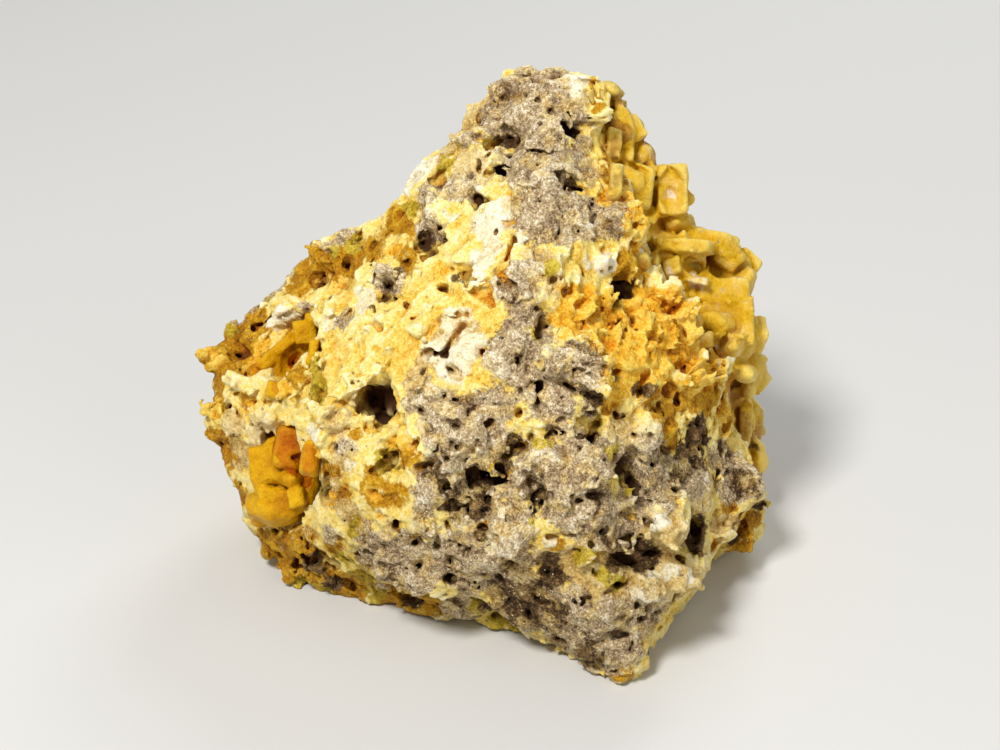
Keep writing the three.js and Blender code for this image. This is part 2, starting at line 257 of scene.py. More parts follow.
class Field:
    """Distance to a surface at the nodes of a lattice, in mm, negative inside.

    It is made with its lowest corner in mm, which it keeps in whole steps of the pitch.
    """

    def __init__(self, low, shape, pitch):
        self.pitch = pitch
        self.low = np.floor(np.array(low) / pitch).astype(int)
        self.values = np.full(shape, BAND, np.float32)
        self.known = {}

    @classmethod
    def around(cls, node, pitch, margin=4.0):
        corners, _ = SOLIDS[node]
        low, high = corners.min(axis=0) - margin, corners.max(axis=0) + margin
        shape = np.ceil((high - low) / pitch).astype(int) + 1
        field = cls(low, shape, pitch)
        field.values = field.distance_to(node)
        return field

    def distance_to(self, node):
        """Distances to a CAD node's surface on this lattice."""
        if node not in self.known:
            corners, triangles = SOLIDS[node]
            grid = openvdb.FloatGrid.createLevelSetFromPolygons(
                np.ascontiguousarray(corners, np.float32), triangles.astype(np.uint32),
                transform=openvdb.createLinearTransform(self.pitch), halfWidth=BAND / self.pitch)
            self.known[node] = np.empty(self.values.shape, np.float32)
            grid.copyToArray(self.known[node], ijk=tuple(int(i) for i in self.low))
        return self.known[node]

    def near(self, reach):
        """A mask of the lattice nodes within reach of the surface, and where they are."""
        mask = np.abs(self.values) < reach
        points = (np.argwhere(mask) + self.low).astype(np.float32) * self.pitch
        return mask, points

    def sample(self, points, values=None):
        """Trilinear values at any points, from this lattice or from a coarser one over the same space."""
        values = self.values if values is None else values
        pitch = self.pitch * math.ceil(self.values.shape[0] / values.shape[0])
        _, rows, row = values.shape
        flat = values.ravel()
        start = (self.low * self.pitch / pitch).astype(np.float32)
        last = np.array(values.shape, np.float32) - 1.001  # just short of the last node

        @chunked
        def read(some):
            q = np.clip(some / np.float32(pitch) - start, 0, last)
            cell = q.astype(np.int32)
            fx, fy, fz = (q - cell).T
            x, y, z = cell.T
            base = (x * rows + y) * row + z
            total = 0
            for dx, wx in ((0, 1 - fx), (rows * row, fx)):
                for dy, wy in ((0, 1 - fy), (row, fy)):
                    low, high = flat.take(base + (dx + dy)), flat.take(base + (dx + dy + 1))
                    total = total + wx * wy * (low + fz * (high - low))
            return total
        return read(points)

    def index(self, point):
        """The lattice node nearest to a point."""
        return tuple(np.clip(np.round(point / self.pitch).astype(int) - self.low, 0, None))

    def patch(self, centre, reach):
        """The part of the lattice within reach of a point: its slices, and offsets from the point."""
        first = np.floor((np.array(centre) - reach) / self.pitch).astype(int) - self.low
        last = np.ceil((np.array(centre) + reach) / self.pitch).astype(int) - self.low + 1
        ends = list(zip(*np.clip((first, last), 0, self.values.shape)))
        slices = tuple(slice(a, b) for a, b in ends)
        axes = [np.arange(a, b, dtype=np.float32) for a, b in ends]
        grid = np.stack(np.meshgrid(*axes, indexing="ij"), axis=-1)
        return slices, (grid + self.low) * self.pitch - np.array(centre, np.float32)

    def blurred(self, radius, coarser=1):
        """The values averaged twice over boxes of the radius, on a lattice that may be coarser."""
        values = self.values[::coarser, ::coarser, ::coarser]
        half = max(1, round(radius / self.pitch / coarser))
        for _ in range(2):
            for axis in range(3):
                values = mean_along(values, axis, half)
        return values

    def inner_edges(self):
        """The lattice's box in x and y, one cell in from its edges, in mm."""
        low = self.low[:2] + 1.5
        return low * self.pitch, (self.low[:2] + self.values.shape[:2] - 2.5) * self.pitch

    def parted(self, x, y, overlap=1.5):
        """Quarters of the field, cut by upright planes at x and y, that overlap a little."""
        middle = np.round(np.array((x, y)) / self.pitch).astype(int) - self.low[:2]
        wide = math.ceil(overlap / 2 / self.pitch)
        for left, front in ((True, True), (False, True), (True, False), (False, False)):
            starts = [0 if near else centre - wide for near, centre in zip((left, front), middle)]
            ends = [centre + wide if near else None for near, centre in zip((left, front), middle)]
            part = Field((0, 0, 0), (1, 1, 1), self.pitch)
            part.low = self.low + np.array([*starts, 0])
            part.values = self.values[starts[0]:ends[0], starts[1]:ends[1]].copy()
            part.values[[0, -1]] = part.values[:, [0, -1]] = BAND
            yield part

    def mesh(self):
        """The surface as corners in mm and triangles."""
        grid = openvdb.FloatGrid(BAND)
        grid.transform = openvdb.createLinearTransform(self.pitch)
        grid.copyFromArray(self.values, ijk=tuple(int(i) for i in self.low))
        corners, triangles, quads = grid.convertToPolygons(isovalue=0.0, adaptivity=0.0)
        quads = quads.astype(np.int64)
        parts = [quads[:, [0, 1, 2]], quads[:, [0, 2, 3]], triangles.astype(np.int64)]
        return corners.astype(np.float32), np.concatenate(parts)


def mean_along(values, axis, half):
    """Each value's mean with its neighbours along an axis."""
    padding = [(0, 0)] * 3
    padding[axis] = (half, half)
    padded = np.pad(values, padding, mode="edge")
    places = [slice(None)] * 3
    total = np.zeros_like(values)
    for shift in range(2 * half + 1):
        places[axis] = slice(shift, shift + values.shape[axis])
        total += padded[tuple(places)]
    return total / np.float32(2 * half + 1)


def smooth_union(a, b, blend):
    """The lower of two distances, rounded off where they cross, over the blend in mm."""
    h = np.clip(0.5 + 0.5 * (b - a) / blend, 0, 1)
    return b * (1 - h) + a * h - blend * h * (1 - h)


def smooth_cut(a, b, blend):
    """What is left of a once b is taken away."""
    return -smooth_union(-a, b, blend)


# ---- Stamps ----

def axes_of(normal, turn, lean):
    """Three axes as rows: across, along and out of a surface, turned about its normal and tilted."""
    out = Vector(normal).normalized()
    level = VIEW_UP if abs(out.dot(VIEW_UP)) < 0.95 else Vector((1, 0, 0))
    side = out.cross(level).normalized()
    turned = Matrix.Rotation(turn, 3, out) @ -side
    out = Matrix.Rotation(lean, 3, turned) @ out
    return np.array([turned, out.cross(turned), out], np.float32)


def egg(offsets, half, axes):
    """Distance to an ellipsoid, roughly."""
    q = offsets @ axes.T / np.array(half, np.float32)
    length = np.sqrt((q * q).sum(axis=-1))
    return (length - 1) * min(half)


# The normals of a rhombohedron's three pairs of faces.
RHOMB_FACES = np.array([[0.93, 0.0, 0.37], [-0.46, 0.81, 0.37], [-0.46, -0.81, 0.37]], np.float32)
TIP = 1.12  # how far a crystal's tips may reach, in half sizes
CRYSTAL_EDGES, SLAB_EDGES = 12, 8  # the higher, the sharper the edges


def crystal(offsets, half, axes):
    """Distance to a rhombohedral crystal with rounded edges and blunt tips, roughly."""
    q = offsets @ axes.T / np.array(half, np.float32)
    faces = (np.abs(q @ RHOMB_FACES.T) ** CRYSTAL_EDGES).sum(axis=-1) ** (1 / CRYSTAL_EDGES)
    reach = np.sqrt((q * q).sum(axis=-1)) / TIP
    return (np.maximum(faces, reach) - 1) * min(half)


def slab(offsets, half, axes):
    """Distance to a box with rounded edges, roughly."""
    q = np.abs(offsets @ axes.T) / np.array(half, np.float32)
    length = (q**SLAB_EDGES).sum(axis=-1) ** (1 / SLAB_EDGES)
    return (length - 1) * min(half)


# The waves that break a stamp's outline: their length in least half sizes, its limits in mm, their height.
RAGGED_WAVES = ((2.4, 1.8, 5.0, 1.0), (1.1, 1.1, 2.2, 0.9))
RAGGED_SIZE = 1.6  # stamps thicker than this, in mm, get no rougher
STAMP_REACH = 1.5  # a stamp is worked out this many times its largest half size from its centre
STAMP_MARGIN = 1.0  # and this much farther, in mm


def ragged(offsets, centre, size, rough):
    """Noise at the offsets of a patch, to break the outline of a stamp of the size."""
    points = (offsets + np.array(centre, np.float32)).reshape(-1, 3)
    layers = [(height, np.clip(length * size, low, high), seed, 1)
              for seed, (length, low, high, height) in enumerate(RAGGED_WAVES, start=3)]
    wander = waves(points, layers).reshape(offsets.shape[:-1])
    return rough * min(size, RAGGED_SIZE) * wander


def stamped(field, shape, centre, half, axes, rough):
    """Where a form lies on the lattice, and its distances; its outline wanders by a share of its size."""
    slices, offsets = field.patch(centre, STAMP_REACH * max(half) + STAMP_MARGIN)
    return slices, shape(offsets, half, axes) + ragged(offsets, centre, min(half), rough)


def add(field, *form, blend, rough):
    """Joins a form to the field: shape, centre, half sizes and axes."""
    slices, distances = stamped(field, *form, rough)
    field.values[slices] = smooth_union(field.values[slices], distances, blend)


def carve(field, *form, blend, rough):
    """Takes a form out of the field."""
    slices, distances = stamped(field, *form, rough)
    field.values[slices] = smooth_cut(field.values[slices], distances, blend)


def view_axes(turn):
    """Axes that face the camera, as rows: across, along and towards it, turned clockwise in degrees."""
    roll = Matrix.Rotation(math.radians(turn), 3, -VIEW_BACK)
    return np.array([roll @ Vector((1, 0, 0)), roll @ VIEW_UP, VIEW_BACK], np.float32)


def size_for(draw, sizes, rarity):
    """A size between the two given, for a draw from 0 to 1; the higher the rarity, the fewer large ones."""
    small, large = sizes
    return small * (large / small) ** (draw**rarity)


def scatter(node, count, seed):
    """Random places on a CAD node, with the surface's direction at each."""
    corners, triangles = SOLIDS[node]
    a, b, c = (corners[triangles[:, i]] for i in range(3))
    cross = np.cross(b - a, c - a)
    area = np.linalg.norm(cross, axis=1)
    rng = np.random.default_rng(seed)
    picked = rng.choice(len(area), count, p=area / area.sum())
    s, t = np.sort(rng.uniform(0, 1, (2, count)), axis=0)[..., None]
    places = a[picked] * s + b[picked] * (t - s) + c[picked] * (1 - t)
    return places, cross[picked] / area[picked, None], rng


# ---- What is where on the front ----
# Places on the side that the camera sees are given as pixels of its picture, and sizes there too.

# The kinds of rock, and patches of painted shade: middle of each patch and its radius. What no patch covers
# is bright ochre.
ZONES = {
    "cream": [
        (480, 112, 14), (460, 132, 16), (445, 152, 14), (472, 165, 16), (583, 95, 8), (580, 118, 10),
        (585, 150, 12), (590, 172, 10), (455, 330, 18), (440, 355, 16), (420, 380, 14), (540, 268, 18),
        (565, 290, 12), (250, 400, 8), (232, 425, 10), (262, 428, 14), (237, 455, 16), (335, 425, 14),
        (355, 405, 8), (345, 455, 14), (330, 490, 14), (345, 510, 12), (300, 540, 14), (280, 480, 6),
        (640, 440, 20), (616, 425, 16), (600, 465, 14), (560, 450, 12), (505, 445, 14), (500, 490, 16),
        (663, 531, 24), (645, 548, 12), (600, 575, 24), (635, 588, 26), (665, 578, 26), (695, 575, 18),
        (640, 620, 20), (610, 655, 18), (580, 560, 14), (560, 560, 14), (700, 500, 14), (722, 530, 12),
        (736, 521, 8),
        (430, 425, 14), (455, 415, 14), (465, 545, 14), (490, 545, 12), (360, 535, 12), (392, 535, 12),
    ],
    "gold": [
        (205, 350, 20), (225, 345, 22), (242, 330, 18), (262, 318, 15), (218, 372, 16), (212, 405, 16),
        (240, 362, 14), (258, 352, 12), (215, 445, 14), (222, 465, 12), (240, 492, 12), (310, 262, 20),
        (332, 258, 18), (350, 262, 16), (300, 290, 12), (372, 250, 14), (395, 222, 14), (410, 232, 10),
        (405, 262, 12), (300, 375, 12), (290, 560, 30), (315, 580, 26), (270, 545, 16), (345, 592, 24),
        (395, 604, 20), (430, 606, 18), (335, 545, 12), (395, 495, 14), (370, 500, 10), (410, 455, 12),
        (665, 412, 18), (690, 392, 16), (705, 400, 14), (672, 440, 10), (620, 275, 16), (632, 258, 12),
        (740, 545, 14), (755, 520, 12), (730, 505, 10), (705, 545, 10), (505, 460, 10), (425, 468, 12),
        (484, 527, 8), (615, 672, 12), (745, 430, 16), (735, 400, 14), (600, 405, 10), (560, 545, 10),
        (612, 150, 12), (617, 175, 12), (622, 135, 10), (608, 195, 8), (712, 390, 12), (640, 270, 10),
        (606, 88, 10), (618, 99, 9), (598, 104, 7), (614, 118, 8), (595, 83, 6), (355, 440, 8),
        (375, 480, 11), (345, 495, 8), (328, 470, 8), (625, 471, 7),
    ],
    "grey": [
        (505, 92, 16), (522, 80, 16), (545, 76, 14), (540, 100, 32), (515, 128, 24), (565, 118, 22),
        (495, 118, 14), (540, 165, 38), (545, 205, 34), (580, 212, 24), (617, 218, 18), (470, 140, 10),
        (462, 185, 14), (430, 195, 12), (430, 228, 14), (520, 285, 20), (522, 325, 24), (518, 365, 22),
        (500, 345, 12), (577, 367, 26), (550, 398, 22), (585, 410, 10), (430, 402, 22), (455, 430, 28),
        (485, 420, 26), (490, 445, 22), (440, 480, 24), (470, 500, 22), (560, 475, 40), (595, 455, 22),
        (515, 525, 24), (650, 455, 22), (598, 520, 28), (650, 490, 22), (625, 530, 12), (690, 475, 22),
        (725, 455, 16), (745, 480, 20), (730, 490, 14), (380, 555, 24), (410, 560, 28), (440, 555, 26),
        (470, 570, 26), (505, 570, 26), (530, 600, 36), (560, 625, 26), (600, 640, 34), (635, 612, 22),
        (575, 600, 14), (655, 610, 14), (345, 450, 10), (385, 280, 13), (345, 240, 14), (325, 241, 9),
        (305, 310, 8), (345, 317, 9), (425, 510, 12), (330, 535, 8), (458, 608, 16), (380, 590, 8),
    ],
    "orange": [
        (585, 308, 22), (612, 318, 28), (645, 312, 28), (675, 328, 28), (640, 352, 28), (690, 355, 20),
        (612, 388, 16), (655, 378, 20), (715, 370, 14), (640, 222, 16), (634, 242, 10), (605, 196, 9),
        (622, 195, 9), (672, 300, 14), (565, 322, 12), (596, 340, 12), (730, 430, 10), (440, 268, 10),
        (212, 408, 12), (254, 366, 10), (262, 342, 8), (372, 350, 6), (398, 440, 10), (412, 448, 8),
        (392, 250, 6), (510, 470, 7), (374, 495, 8), (612, 395, 12), (715, 545, 7), (250, 402, 9),
        (712, 366, 14), (725, 385, 12), (728, 410, 10), (690, 310, 12), (698, 386, 12), (676, 392, 10),
        (286, 436, 12), (292, 450, 15), (290, 468, 13), (311, 458, 12), (300, 482, 8), (283, 393, 12),
        (297, 366, 12), (206, 352, 9), (216, 362, 8), (380, 400, 9), (330, 498, 8),
    ],
    "olive": [
        (317, 365, 9), (318, 385, 9), (317, 405, 9), (312, 420, 7), (388, 463, 12), (352, 244, 10),
        (410, 212, 8), (450, 165, 9), (362, 575, 14), (372, 595, 10), (345, 560, 10), (350, 530, 8),
        (300, 590, 10), (325, 590, 10), (478, 605, 10), (500, 622, 12), (520, 636, 8), (618, 585, 9),
        (626, 475, 7), (634, 490, 7), (612, 450, 7), (532, 495, 6), (535, 525, 6), (540, 440, 8),
        (600, 574, 6), (337, 249, 9), (595, 425, 8), (585, 558, 9), (685, 555, 7), (540, 325, 8),
        (555, 268, 8), (228, 332, 9),
    ],
    "white": [
        (488, 225, 14), (494, 245, 11), (478, 268, 11), (448, 214, 7), (458, 318, 14), (436, 350, 12),
        (468, 345, 12), (330, 318, 9), (362, 300, 9), (280, 318, 12), (300, 325, 7), (432, 388, 9),
        (455, 365, 14), (640, 250, 6), (600, 264, 11), (578, 82, 11), (562, 76, 6), (422, 168, 13),
        (412, 188, 8), (440, 200, 6), (500, 205, 7), (316, 432, 9), (350, 470, 8), (520, 240, 7),
        (505, 515, 8), (490, 548, 9), (552, 540, 8), (662, 520, 9), (635, 595, 8), (668, 574, 9),
        (690, 578, 8), (650, 575, 9),
        (668, 268, 8), (695, 279, 9), (664, 198, 5), (680, 200, 5), (735, 352, 6), (712, 340, 6),
    ],
    # painted shade: dark patches where shade falls, in holes, under ledges and low on the right, on the
    # matrix and the crust alike
    "painted_shade": [
        (692, 455, 19), (705, 438, 11), (676, 478, 8), (697, 532, 16), (700, 545, 12), (612, 560, 14),
        (640, 556, 16), (510, 594, 18), (535, 590, 14), (550, 572, 14), (555, 612, 12), (490, 608, 10),
        (470, 505, 14), (486, 478, 16), (505, 465, 10), (430, 470, 10), (440, 487, 9), (460, 507, 12),
        (312, 562, 12), (327, 570, 10), (335, 588, 10), (655, 395, 8), (700, 422, 10), (718, 476, 8),
        (590, 655, 12), (735, 538, 10), (604, 534, 7), (387, 286, 6), (424, 243, 8), (440, 236, 7),
        (410, 600, 9), (380, 405, 12), (552, 434, 8), (520, 448, 8), (592, 398, 10), (463, 274, 8),
        (642, 388, 8), (616, 372, 6), (752, 452, 6), (735, 386, 6), (578, 132, 6), (505, 140, 8),
        (450, 578, 8), (560, 650, 10), (655, 655, 8), (748, 492, 8), (520, 612, 14), (545, 622, 10),
        (538, 498, 10), (745, 481, 13), (759, 500, 9), (505, 560, 8), (395, 575, 7), (478, 540, 6),
        (620, 620, 7), (600, 500, 6), (540, 470, 6),
    ],
}

# Holes: middle, half width and half height in pixels, depth in mm, and turn in degrees.
HOLES = [
    (498, 141, 7, 5, 4, -30), (511, 136, 8, 6, 5, 10), (522, 80, 6, 3, 1.5, -20), (551, 110, 3, 6, 2.5, 10),
    (579, 131, 5, 4, 4, 0), (558, 134, 4, 3, 3, 0), (490, 173, 4, 3, 3, 0), (502, 172, 3, 3, 3, 0),
    (494, 166, 3, 2, 2, 0), (487, 184, 7, 2, 2, -30), (577, 188, 8, 4, 4, 10), (560, 198, 4, 2, 2, -20),
    (563, 171, 2, 2, 2, 0), (483, 147, 2, 2, 2, 0), (545, 225, 3, 3, 2, 0), (594, 218, 4, 7, 4, 0),
    (608, 222, 8, 4, 4, 10), (578, 229, 3, 3, 2, 0), (437, 184, 6, 4, 2, 0), (423, 243, 6, 6, 3.5, 0),
    (440, 235, 4, 10, 4, 0), (464, 274, 13, 6, 4, 10), (443, 290, 5, 4, 3, 10), (557, 279, 8, 3, 3, 0),
    (566, 291, 7, 5, 3.5, 20), (320, 281, 7, 6, 3.5, 0), (387, 285, 10, 6, 2.5, -20), (345, 265, 6, 3, 2, 20),
    (340, 328, 3, 3, 2.5, 0), (376, 352, 5, 9, 2, 10), (545, 322, 7, 10, 6, 10), (536, 308, 4, 4, 3, 0),
    (539, 362, 3, 5, 3, 0), (539, 386, 3, 4, 3, 0), (482, 350, 4, 4, 3, 0), (443, 356, 4, 3, 3, 0),
    (452, 371, 8, 3, 3, 35), (519, 414, 4, 4, 2.5, 0), (373, 401, 9, 10, 7, 20),
    (385, 407, 10, 11, 7, -10), (381, 417, 8, 5, 6, 0), (583, 302, 6, 3, 3, -40),
    (612, 345, 11, 7, 3, 20), (616, 371, 5, 4, 4, 0), (652, 355, 5, 9, 3, 20), (668, 351, 4, 4, 3, 0),
    (672, 331, 3, 3, 2, 0), (593, 399, 13, 5, 7, 42), (572, 387, 9, 3, 3, 25), (640, 390, 5, 6, 4, 20),
    (647, 376, 3, 8, 4, 15), (658, 402, 5, 13, 3, 0), (597, 431, 9, 9, 7, -25), (590, 440, 4, 4, 5, 0),
    (615, 411, 3, 5, 3, 0), (553, 433, 12, 3, 4, -10), (568, 421, 6, 3, 3, -10), (520, 446, 5, 6, 4, -20),
    (506, 456, 9, 4, 3.5, -20), (614, 457, 3, 7, 4, -10), (621, 470, 5, 9, 4, -25), (633, 486, 5, 12, 4, -20),
    (612, 488, 7, 5, 4, -40), (591, 495, 9, 2, 3.5, 0), (582, 500, 4, 3, 2.5, 0), (656, 468, 8, 2, 3, 40),
    (538, 496, 7, 17, 9, -10), (534, 484, 4, 6, 5, -30), (526, 474, 2, 5, 3, -30),
    (487, 475, 14, 10, 8, 0), (503, 469, 8, 4, 4, 10),
    (443, 487, 5, 6, 4, -20), (432, 481, 6, 3, 3, 0), (423, 468, 8, 6, 4.5, 0), (446, 457, 2, 6, 3, -35),
    (432, 464, 3, 5, 3, 20), (461, 508, 14, 6, 4, 0), (430, 429, 4, 4, 2.5, 0), (418, 413, 5, 5, 3, 0),
    (453, 426, 6, 3, 2, 20), (457, 446, 7, 4, 2, 0), (472, 452, 3, 3, 2, 0), (298, 355, 15, 13, 6, -35),
    (221, 376, 3, 3, 2.5, 0), (325, 497, 4, 15, 6, 0), (341, 541, 3, 7, 3.5, -25), (312, 562, 7, 6, 4, 0),
    (327, 566, 9, 5, 3.5, 30), (380, 544, 5, 2, 2, 20), (417, 545, 6, 6, 2.5, 0), (417, 566, 5, 5, 4, 0),
    (437, 546, 4, 4, 3, 0), (452, 545, 6, 3, 3, 20), (450, 563, 3, 6, 3, 10), (449, 578, 4, 6, 3.5, 0),
    (466, 552, 4, 6, 2, 20), (484, 526, 5, 4, 3, 30), (491, 535, 8, 2, 2, 50), (468, 583, 9, 3, 2, 0),
    (555, 537, 7, 2, 3, 0), (604, 533, 5, 4, 4, 0), (587, 528, 3, 2, 2, 0), (408, 598, 15, 6, 5, -10),
    (497, 614, 19, 5, 6, 42), (353, 588, 3, 8, 3.5, -35), (619, 585, 12, 6, 3, -8), (610, 556, 12, 5, 5, 0),
    (642, 555, 18, 4, 6, -5), (571, 596, 8, 2, 3, 40), (632, 516, 10, 4, 3, 10), (697, 530, 10, 11, 4, 20),
    (740, 532, 4, 13, 4, 25), (716, 511, 5, 2, 3, 0), (718, 476, 3, 8, 4, 10), (699, 420, 7, 3, 4, 20),
    (619, 635, 8, 5, 4, 0), (596, 660, 4, 2, 2.5, 0), (638, 606, 3, 3, 3, 0), (642, 618, 4, 2, 2.5, 0),
    (614, 672, 7, 5, 3, -20), (560, 640, 5, 3, 3, 0), (695, 456, 14, 10, 3, 0), (710, 354, 9, 3, 3, 20),
    (624, 287, 8, 13, 2.5, -28), (296, 455, 22, 28, 5, 0), (276, 507, 26, 17, 4, 0), (388, 463, 8, 12, 2, 15),
]

# Lumps, blocks and plates that stand out: form, middle, half sizes as for the holes, and turn.
LUMPS = [
    (slab, 505, 88, 15, 10, 3.5, -25), (egg, 512, 86, 10, 9, 4, 0), (egg, 540, 69, 30, 8, 4.5, 0),
    (egg, 562, 66, 9, 6, 3, 0), (egg, 480, 109, 8, 6, 2.5, 0), (egg, 458, 138, 8, 6, 4, 0),
    (slab, 640, 543, 18, 4, 3.5, -5), (slab, 612, 544, 12, 4, 3, 8), (egg, 618, 218, 15, 12, 3.5, 20),
    (egg, 604, 205, 12, 9, 3, 0),
    (slab, 595, 120, 12, 9, 3, -40), (slab, 585, 150, 16, 5, 2.5, 25), (slab, 590, 170, 5, 12, 2.5, 20),
    (slab, 577, 366, 31, 14, 4.5, 12), (slab, 338, 243, 22, 5, 2.5, -8), (egg, 385, 272, 15, 9, 3, 30),
    (egg, 204, 357, 11, 6, 2.5, 0), (egg, 228, 333, 9, 10, 3, 0), (egg, 250, 316, 14, 10, 3, 0),
    (egg, 208, 408, 10, 11, 3, 0), (slab, 250, 388, 15, 4, 2.5, 25), (slab, 232, 425, 10, 20, 2.5, -10),
    (egg, 273, 418, 23, 15, 3, 8), (slab, 303, 372, 8, 18, 3.5, 28), (slab, 317, 388, 6, 30, 3, 4),
    (egg, 320, 438, 13, 20, 3.5, -15), (slab, 345, 418, 25, 7, 3, 8), (slab, 352, 392, 15, 11, 4, 30),
    (slab, 664, 531, 19, 17, 4, 25), (slab, 676, 575, 33, 13, 4, 8), (slab, 635, 590, 25, 14, 3, -15),
    (egg, 718, 533, 12, 7, 3, 0), (slab, 735, 520, 5, 20, 3.5, 25), (slab, 745, 508, 12, 7, 3, 30),
    (slab, 750, 482, 4, 24, 3, -38), (slab, 739, 482, 3, 22, 2.5, -35), (slab, 585, 555, 8, 10, 3, 5),
    (egg, 455, 425, 42, 30, 3.5, 20), (slab, 412, 420, 5, 26, 3, -20), (egg, 565, 472, 36, 32, 3, 0),
    (slab, 505, 490, 14, 12, 3.5, -35), (slab, 515, 525, 20, 16, 3, -20), (egg, 640, 432, 20, 22, 3, 0),
    (egg, 428, 322, 26, 12, 3, -30), (slab, 400, 348, 26, 6, 2.5, -35), (slab, 445, 300, 28, 5, 2, -25),
    (egg, 290, 300, 22, 9, 2.5, -32), (slab, 345, 300, 26, 6, 2.5, -28), (egg, 262, 560, 10, 12, 2.5, 0),
    (egg, 640, 325, 22, 14, 3.5, 20), (egg, 590, 312, 12, 17, 3.5, 0), (slab, 684, 318, 5, 26, 4, -20),
    (slab, 712, 366, 16, 11, 3.5, 15), (slab, 660, 300, 22, 5, 3, 10), (slab, 675, 385, 24, 5, 3, -8),
    (slab, 598, 262, 13, 13, 3, 20), (slab, 440, 210, 14, 12, 2.5, 20), (egg, 425, 170, 9, 9, 2.5, 0),
]

# Crystals of the crust that the camera sees: form and sizes as above.
CRYSTALS = [
    (egg, 608, 89, 17, 9, 6.5, 8), (egg, 625, 99, 6, 9, 5, 10), (slab, 619, 106, 4, 8, 4, -20),
    (egg, 592, 101, 9, 6, 5.5, 20), (slab, 636, 128, 8, 14, 3, -30), (slab, 622, 126, 12, 16, 5, -20),
    (slab, 614, 146, 7, 16, 5, 4), (slab, 626, 150, 8, 14, 5, 8), (crystal, 642, 154, 13, 13, 5, 10),
    (slab, 650, 176, 5, 18, 4, -12), (slab, 634, 186, 19, 22, 6, 10), (crystal, 630, 180, 20, 18, 7, 25),
    (slab, 616, 178, 6, 14, 5, 5), (slab, 672, 190, 16, 26, 5, -3), (egg, 676, 220, 16, 12, 5, 0),
    (slab, 650, 214, 10, 10, 4, 30), (slab, 700, 240, 36, 12, 5, 14), (slab, 684, 246, 30, 7, 6, 4),
    (slab, 728, 258, 14, 13, 5, 40), (egg, 655, 262, 6, 10, 4, 10), (slab, 672, 267, 9, 8, 3, -20),
    (slab, 695, 279, 13, 5, 3.5, 8), (slab, 722, 310, 26, 34, 3, 3), (crystal, 743, 284, 12, 17, 6.5, 12),
    (slab, 712, 290, 26, 8, 6.5, -12), (crystal, 714, 322, 23, 13, 7, 6), (slab, 746, 322, 7, 24, 6, 2),
    (slab, 722, 303, 22, 5, 6.5, -4), (egg, 696, 322, 8, 10, 5, 0), (slab, 704, 341, 9, 7, 5.5, -15),
    (crystal, 733, 346, 12, 11, 6, -10), (slab, 724, 336, 20, 3, 7, 4),
    (crystal, 744, 372, 13, 10, 4, 20), (egg, 750, 391, 7, 9, 3, 0), (slab, 745, 425, 7, 26, 3.5, 5),
    (egg, 759, 459, 10, 16, 4, -15), (egg, 612, 196, 9, 6, 3, 0), (egg, 645, 235, 8, 8, 3.5, 0),
    (crystal, 642, 262, 9, 10, 3, 20), (slab, 650, 285, 12, 6, 3, 30),
]
CRYSTAL_HOLES = [
    (672, 193, 9, 16, 3.5, -3), (697, 266, 13, 7, 6, 5), (735, 385, 4, 3, 3, 0), (753, 452, 3, 8, 3, 0),
    (638, 168, 6, 2, 2.5, 30), (606, 112, 4, 5, 4, 0), (722, 345, 3, 8, 3, 10), (700, 302, 12, 1, 1.5, 10),
]

# Waxy lumps in the two vugs.
UPPER_AMBER = [
    (egg, 287, 362, 26, 20, 2.5, -40), (slab, 277, 353, 25, 7, 5, -43), (slab, 306, 333, 12, 13, 4.5, -10),
    (slab, 283, 392, 17, 8, 3.5, 15), (slab, 313, 352, 5, 14, 3, 10), (crystal, 256, 372, 9, 8, 3, 0),
]
UPPER_AMBER_HOLES = [(294, 361, 9, 13, 4.5, 35), (290, 380, 12, 4, 3, -30)]
LOWER_AMBER = [
    (egg, 285, 478, 34, 44, 2.5, -10), (slab, 263, 463, 14, 18, 5, -5), (slab, 290, 447, 15, 22, 6, 8),
    (slab, 311, 458, 9, 18, 5, 12), (crystal, 291, 479, 14, 12, 5, 20), (crystal, 275, 508, 29, 17, 6, 5),
    (egg, 260, 521, 12, 12, 5, 0), (slab, 297, 497, 9, 10, 4, -10), (egg, 213, 404, 9, 12, 3, 0),
]
LOWER_AMBER_HOLES = [(301, 516, 12, 5, 4, -20), (300, 459, 6, 2, 2.5, 10), (276, 486, 12, 2, 2.5, 8)]

SINK = 0.45  # the share of a lump's depth that is under the surface
SEARCH = np.arange(6, -3, -0.2)  # mm along the camera's line, from in front of the CAD model inwards
SQUAT = 3.5  # a hole goes at most this many times its least half width deeper than a millimetre
BOWL, CORE = (1.35, 0.45, 0.6), (0.8, 0.9, 0.3)  # shares of a hole's width and depth, and blend in mm
POCKETS = 1.6  # at each hole's sides, for every millimetre of its half width, besides two


def add_features(field, features, **finish):
    """Adds each listed form where its pixel falls on the rock."""
    for shape, u, v, across, along, depth, turn in features:
        centre = on_rock(u, v) - VIEW_BACK * depth * SINK
        half = (across * PX, along * PX, depth)
        add(field, shape, centre, half, view_axes(turn), **finish)


def at_surface(field, point):
    """Where the camera's line through a point meets the field's surface."""
    line = np.array(point) + SEARCH[:, None] * np.array((EYE - point).normalized())
    inside = field.sample(line) < 0
    return line[np.argmax(inside)] if inside.any() else np.array(point)


def carve_pockets(field, centre, half, depth, turn, rough, rng):
    """Small angular pockets that make a hole's sides uneven."""
    for _ in range(2 + int(POCKETS * half.mean())):
        angle, share = rng.uniform(0, math.tau), rng.uniform(0.35, 0.65)
        beside = CORE[0] * half * (math.cos(angle), math.sin(angle))
        pocket = (*share * half.mean() * rng.uniform(0.7, 1.3, 2), 0.7 * share * depth)
        place = centre + beside @ view_axes(turn)[:2]
        turned = view_axes(turn + rng.uniform(-60, 60))
        carve(field, slab, place, pocket, turned, blend=0.15, rough=rough)


